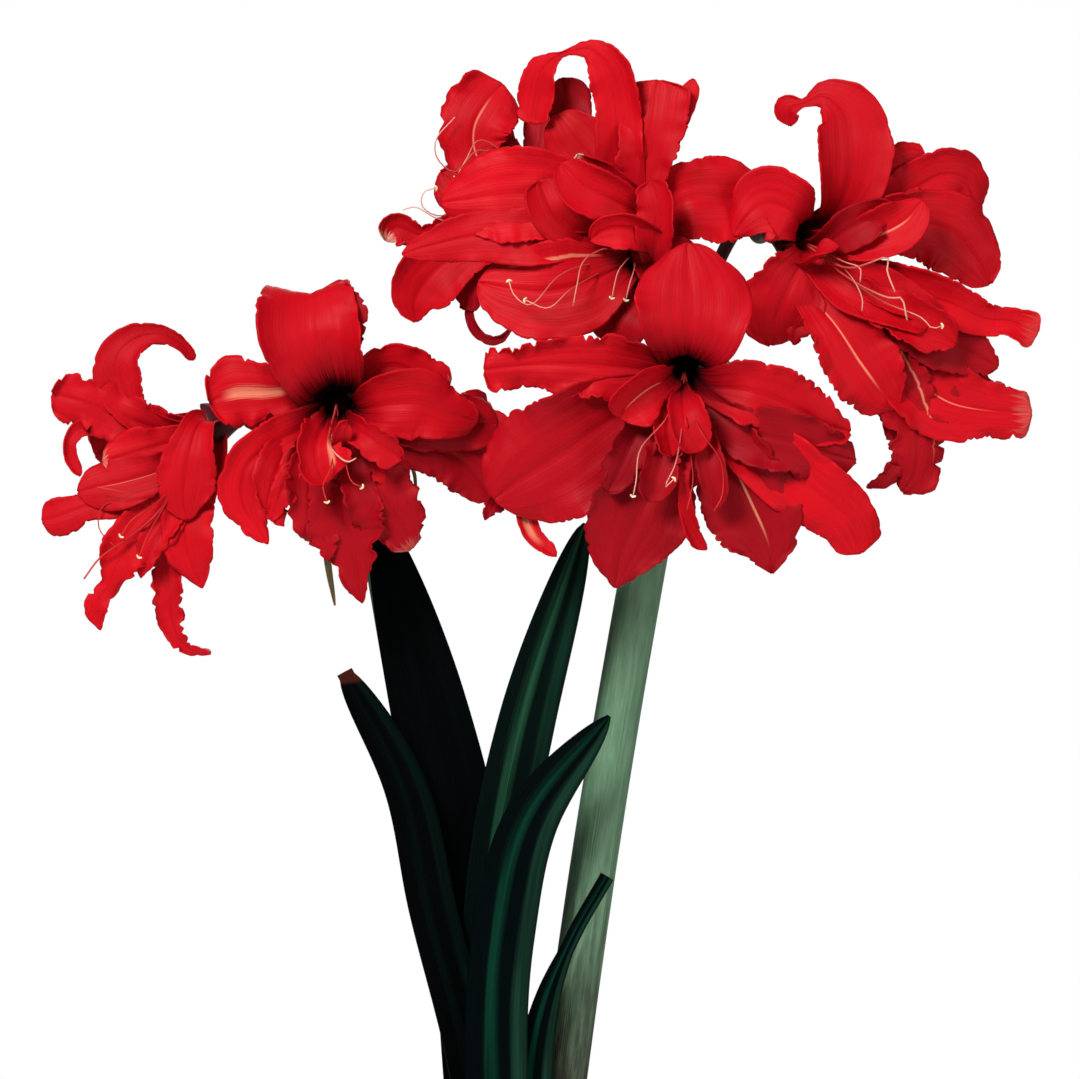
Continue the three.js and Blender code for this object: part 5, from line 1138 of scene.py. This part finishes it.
def petal_material():
    """Red skin with fine lines, painted shade per petal and toward the throat, where it reaches near black,
    and a salmon rib and cream tip where a petal is marked.
    """
    red, tree, shader = new_material("petal_red", Roughness=0.5, Specular_IOR_Level=0.09)
    lines, bands, u, v = streaks(tree, (1.4, 52.0, 1.0), (2.0, 10.0, 1.0))
    colour_and_shade = add_node(tree, "ShaderNodeVertexColor", layer_name="colour_and_shade")
    apart = add_node(tree, "ShaderNodeSeparateColor", {0: colour_and_shade.outputs["Color"]})
    tone, streak, pale = apart.outputs
    rib_middle = colour_and_shade.outputs["Alpha"]

    # Painted shade: each petal's tone mixes the shaded and the lit red.
    base = mixed(tree, tone, PETAL_SHADED, PETAL_LIT)
    base = mixed(tree, worked(tree, "MULTIPLY", bands, 0.26), base, PETAL_BAND)
    base = mixed(tree, worked(tree, "MULTIPLY", lines, 0.16), base, PETAL_LINE)

    # Painted shade toward the throat, broken by the lines and bands, reaching near black at the root.
    spread = worked(tree, "ADD", worked(tree, "MULTIPLY", lines, 0.14), worked(tree, "MULTIPLY", bands, 0.06))
    reach = worked(tree, "ADD", u, spread)
    shade = worked(tree, "MULTIPLY", ranged(tree, reach, 0.50, 0.22), 0.55)
    base = mixed(tree, shade, base, THROAT_SHADE)
    base = mixed(tree, ranged(tree, reach, 0.31, 0.18), base, SHADE_NEAR_BLACK)

    from_rib = worked(tree, "ABSOLUTE", worked(tree, "SUBTRACT", v, rib_middle))
    uneven = worked(tree, "ADD", worked(tree, "MULTIPLY", lines, 0.014), 0.011)
    rib_half = worked(tree, "MAXIMUM", worked(tree, "MULTIPLY", streak, uneven), 0.0001)
    rib = ranged(tree, worked(tree, "DIVIDE", from_rib, rib_half), 1.0, 0.45)
    ends = worked(tree, "MULTIPLY", ranged(tree, u, 0.24, 0.34), ranged(tree, u, 0.90, 0.74))
    rib = worked(tree, "MULTIPLY", worked(tree, "MULTIPLY", rib, ends), ranged(tree, streak, 0.0, 0.3))
    base = mixed(tree, worked(tree, "MULTIPLY", rib, 0.7), base, RIB_SALMON)

    near_tip = worked(tree, "ADD", u, worked(tree, "MULTIPLY", bands, 0.06))
    tip = worked(tree, "MULTIPLY", ranged(tree, near_tip, 0.965, 1.0), pale)
    tip = worked(tree, "MULTIPLY", tip, ranged(tree, lines, 0.15, 0.7, 0.3, 1.0))
    base = mixed(tree, tip, base, TIP_CREAM)
    tree.links.new(base, shader.inputs["Base Color"])
    tree.links.new(ranged(tree, lines, 0.0, 1.0, 0.48, 0.58), shader.inputs["Roughness"])
    bumped(tree, shader, lines, 0.0002, 0.35)
    return red


def plain_skin(name, first, second, roughness, turns_at=(0.15, 0.85), specular=0.3):
    """A skin that turns from one colour to another along its stalk, with a few dimmer lines."""
    skin, tree, shader = new_material(name, Roughness=roughness, Specular_IOR_Level=specular)
    lines, bands, u, _ = streaks(tree, (2.0, 10.0, 1.0), (3.0, 3.0, 1.0))
    dimmed = [channel * 0.7 for channel in second[:3]] + [1]
    blend = mixed(tree, ranged(tree, u, *turns_at), first, second)
    blend = mixed(tree, worked(tree, "MULTIPLY", lines, 0.3), blend, dimmed)
    tree.links.new(blend, shader.inputs["Base Color"])
    bumped(tree, shader, bands, 0.0002, 0.5)
    return skin


PETAL_RED = petal_material()
TUBE_SKIN = plain_skin("tube_maroon", (0.050, 0.035, 0.018, 1), (0.060, 0.004, 0.009, 1), 0.45)
FILAMENT = plain_skin("filament", (0.46, 0.007, 0.011, 1), (0.80, 0.40, 0.30, 1), 0.4, (0.62, 0.95))
ANTHER = plain_skin("anther", (0.72, 0.50, 0.20, 1), (0.86, 0.76, 0.56, 1), 0.7)
# Near black, as painted shade for the disc inside the throat.
SHADE_DISC_SKIN = plain_skin("throat_shade_disc", (0.0015, 0.0003, 0.0004, 1), (0.006, 0.0004, 0.0010, 1), 0.8,
                         specular=0.0)
RED_FILAMENT = plain_skin("filament_red", (0.42, 0.006, 0.010, 1), (0.62, 0.045, 0.030, 1), 0.45,
                          (0.7, 1.0), 0.15)
TUBE_RADIUS = 3.8 * MM
TUBE_SWELL = 1.2 * MM
OVARY_SWELL = 2.6 * MM
THROAT_FLARE = 7.0 * MM
TUBE_SIDES = 24
TUBE_STEPS = 40
TUBE_RIBS = 6
THROAT_DISC_RADIUS = 7.5 * MM
THROAT_DISC_STEPS = 3
FILAMENT_SIDES = 8
FILAMENT_STEPS = 30
ANTHER_HALF = 1.5 * MM
ANTHER_GRID = (10, 10)


def placed(face, path):
    """A path's points in the frame, from across, up and forward of the middle of a bloom's face."""
    return [face + Vector((across, -forward, up)) * MM for across, up, forward, *_ in path]


def throat_mapping(rim, outside):
    """Stretches u so that every petal leaves the throat at the same share and meets the painted throat shade
    alike, or starts outside it and skips the darkest of that shade.
    """
    def mapping(u):
        passed = THROAT_RIM + (1 - THROAT_RIM) * (u - rim) / (1 - rim)
        if u < rim:
            passed = THROAT_RIM * u / rim
        return outside + (1 - outside) * passed
    return mapping


def add_petal(bm, colour_and_shade_layer, plan, k, number):
    """One petal of a bloom, rooted inside the tube on the side that it grows to."""
    form = plan["petals"][k]
    axis = bloom_axis(plan)
    face = Vector(plan["face"]) * MM
    throat = face - axis * FLARE_DEPTH
    first, *rest = placed(face, form["path"])
    first -= axis * FIRST_POINT_DEPTH
    halves = [half * MM for *_, half in form["path"]]
    radial = first - throat
    radial = (radial - axis * radial.dot(axis)).normalized()
    root = throat + radial * (OUTER_ROOT_RING if max(halves) > BROAD_PETAL else INNER_ROOT_RING)
    root -= axis * PETAL_ROOT_DEPTH
    points = [root, first, *rest]
    halves.insert(0, max(PETAL_ROOT_HALF, halves[0] * 0.4))
    look = form.get("look", plan.get("look"))
    facing = Vector((look[0], -look[2], look[1])) if look else axis
    places, _, shares = through(points, LENGTH_STEPS)
    length = sum((q - p).length for p, q in zip(places, places[1:]))
    # Tone is painted shade, from shaded to lit red: listed for petals that stand in shade, otherwise a share
    # that differs from petal to petal.
    tone = form.get("tone", 0.65 + 0.35 * ((k * 0.37 + number * 0.21) % 1))
    rib = 0.5 + form.get("rib", 0) / 2
    colour_and_shade = {colour_and_shade_layer: (tone, form.get("streak", 0), form.get("pale", 0), rib)}
    phase = (k * 2.4 + number * 1.7) % math.tau
    shape = petal_shape(form, widths_along(points, halves), length, phase, k + number * 7.3)
    mapping = throat_mapping(shares[1] + THROAT_REACH / length, plan.get("outside", 0))
    along = max(LEAST_STEPS[0], round(length / STEP_ALONG))
    across = max(LEAST_STEPS[1], 2 * round(max(halves) / STEP_ACROSS))
    add_blade(bm, points, facing, shape, along, across, 0, colour_and_shade, mapping)


def bloom(name, plan, number):
    bm = bmesh.new()
    colour_and_shade_layer = bm.loops.layers.float_color.new("colour_and_shade")
    for k in range(len(plan["petals"])):
        add_petal(bm, colour_and_shade_layer, plan, k, number)
    sheet = thin_sheet(name + "_petals", bm, PETAL_RED, PETAL_THICKNESS)
    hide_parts(name)


def tube_radius(u):
    ovary = OVARY_SWELL * math.exp(-((u - 0.16) / 0.10) ** 2)
    flare = THROAT_FLARE * eased(u, 0.45, 1.0) ** 1.3
    return TUBE_RADIUS + ovary + flare + TUBE_SWELL * eased(u, 0.25, 0.5)


def tube_ribs(u, angle):
    return 0.05 * math.cos(angle * TUBE_RIBS) * eased(u, 0.2, 0.4)


def anther_radius(u):
    return (0.3 + 0.3 * math.sin(math.pi * u) ** 0.6) * MM


def add_stamen(bm, throat, face, form):
    """A thin filament out of the throat, with a small anther across its end or none."""
    points = [throat, *placed(face, form["path"])]
    thick = form["thick"] * MM
    add_stalk(bm, points, lambda u: thick * (1.0 - 0.45 * u), FILAMENT_SIDES, FILAMENT_STEPS,
              4 if form["red"] else 1)
    if form["anther"]:
        tip = points[-1]
        way = (points[-1] - points[-2]).normalized()
        lean = way.cross(Vector((0.2, 1, 0.1))).normalized() * ANTHER_HALF
        ends = [tip - lean - way * 0.5 * MM, tip + way * 0.4 * MM, tip + lean - way * 0.3 * MM]
        add_stalk(bm, ends, anther_radius, *ANTHER_GRID, 2)


def bloom_middle(name, plan):
    """The tube with its ovary and open throat, and the stamens."""
    axis = bloom_axis(plan)
    face = Vector(plan["face"]) * MM
    throat = face - axis * FLARE_DEPTH
    back = throat - axis * (TUBE_LENGTH + OVARY_LENGTH)
    bm = bmesh.new()
    tube = [back, back.lerp(throat, 0.5), throat - axis * MM]
    add_stalk(bm, tube, tube_radius, TUBE_SIDES, TUBE_STEPS, 0, tube_ribs)
    # Painted shade: a near-black disc inside the throat stands for the shade in the tube.
    inside = throat - axis * 0.8 * MM
    disc = [inside, inside + axis * 0.3 * MM, inside + axis * 0.6 * MM]
    add_stalk(bm, disc, lambda u: THROAT_DISC_RADIUS, TUBE_SIDES, THROAT_DISC_STEPS, 3)
    for form in plan["stamens"]:
        add_stamen(bm, throat, face, form)
    middle = grown(name + "_middle", bm, [TUBE_SKIN, FILAMENT, ANTHER, SHADE_DISC_SKIN, RED_FILAMENT])


for number, (name, plan) in enumerate(BLOOMS.items()):
    bloom(name, plan, number)
    bloom_middle(name, plan)

# The studio: a plain pale floor, a white surround and soft lights from the left, the right and behind.
# The camera stands level with the blooms, far off, so it sees the plant as the photograph does.
CAMERA_DISTANCE = 10.0
CAMERA_LENS = 666.7
VIEW_CENTRE = Vector((11.5, 0, 520)) * MM
FLOOR_RADIUS = 1.25
FLOOR_DROP = 0.5 * MM
FLOOR_GREY = (0.82, 0.82, 0.81, 1)
FLOOR_PALE = (0.86, 0.86, 0.85, 1)
LIGHT_AIM = (0, 0, 0.5)


def floor():
    pale, tree, shader = new_material("studio_floor", Roughness=0.8)
    clouds, _, _ = mottle(tree, 3.0, 90.0)
    tree.links.new(mixed(tree, clouds, FLOOR_GREY, FLOOR_PALE), shader.inputs["Base Color"])
    bm = bmesh.new()
    bmesh.ops.create_circle(bm, cap_ends=True, segments=96, radius=FLOOR_RADIUS,
                            matrix=Matrix.Translation((0, 0, -FLOOR_DROP)))
    mesh = bpy.data.meshes.new("studio_floor")
    bm.to_mesh(mesh)
    bm.free()
    mesh.materials.append(pale)
    ground = bpy.data.objects.new("studio_floor", mesh)
    bpy.context.scene.collection.objects.link(ground)


def soft_light(name, place, size, watts):
    lamp = bpy.data.lights.new(name, "AREA")
    lamp.size = size
    lamp.energy = watts
    holder = bpy.data.objects.new(name, lamp)
    holder.location = place
    holder.rotation_euler = (Vector(LIGHT_AIM) - Vector(place)).to_track_quat("-Z", "Y").to_euler()
    bpy.context.scene.collection.objects.link(holder)


def surround():
    world = bpy.data.worlds.new("studio")
    bpy.context.scene.world = world
    world.use_nodes = True
    tree = world.node_tree
    backdrop = tree.nodes["Background"]
    backdrop.inputs["Color"].default_value = (1, 1, 1, 1)
    backdrop.inputs["Strength"].default_value = 1.0
    glow = add_node(tree, "ShaderNodeBackground", {"Color": (1, 1, 1, 1), "Strength": 0.16})
    seen = add_node(tree, "ShaderNodeLightPath")
    blend = add_node(tree, "ShaderNodeMixShader", {0: seen.outputs["Is Camera Ray"], 1: glow.outputs[0],
                                                   2: backdrop.outputs[0]})
    tree.links.new(blend.outputs[0], tree.nodes["World Output"].inputs["Surface"])


def camera():
    lens = bpy.data.cameras.new("camera")
    lens.lens = CAMERA_LENS
    lens.sensor_width = 36
    lens.clip_end = 50
    holder = bpy.data.objects.new("camera", lens)
    holder.location = VIEW_CENTRE + Vector((0, -CAMERA_DISTANCE, 0))
    holder.rotation_euler = (math.pi / 2, 0, 0)
    bpy.context.scene.collection.objects.link(holder)
    bpy.context.scene.camera = holder


floor()
surround()
soft_light("key", (-1.0, -1.9, 1.9), 0.8, 75)
soft_light("fill", (1.8, -1.6, 1.1), 1.2, 22)
soft_light("back", (0.4, 1.8, 1.7), 1.2, 18)
camera()
bpy.context.scene.view_settings.view_transform = "Standard"
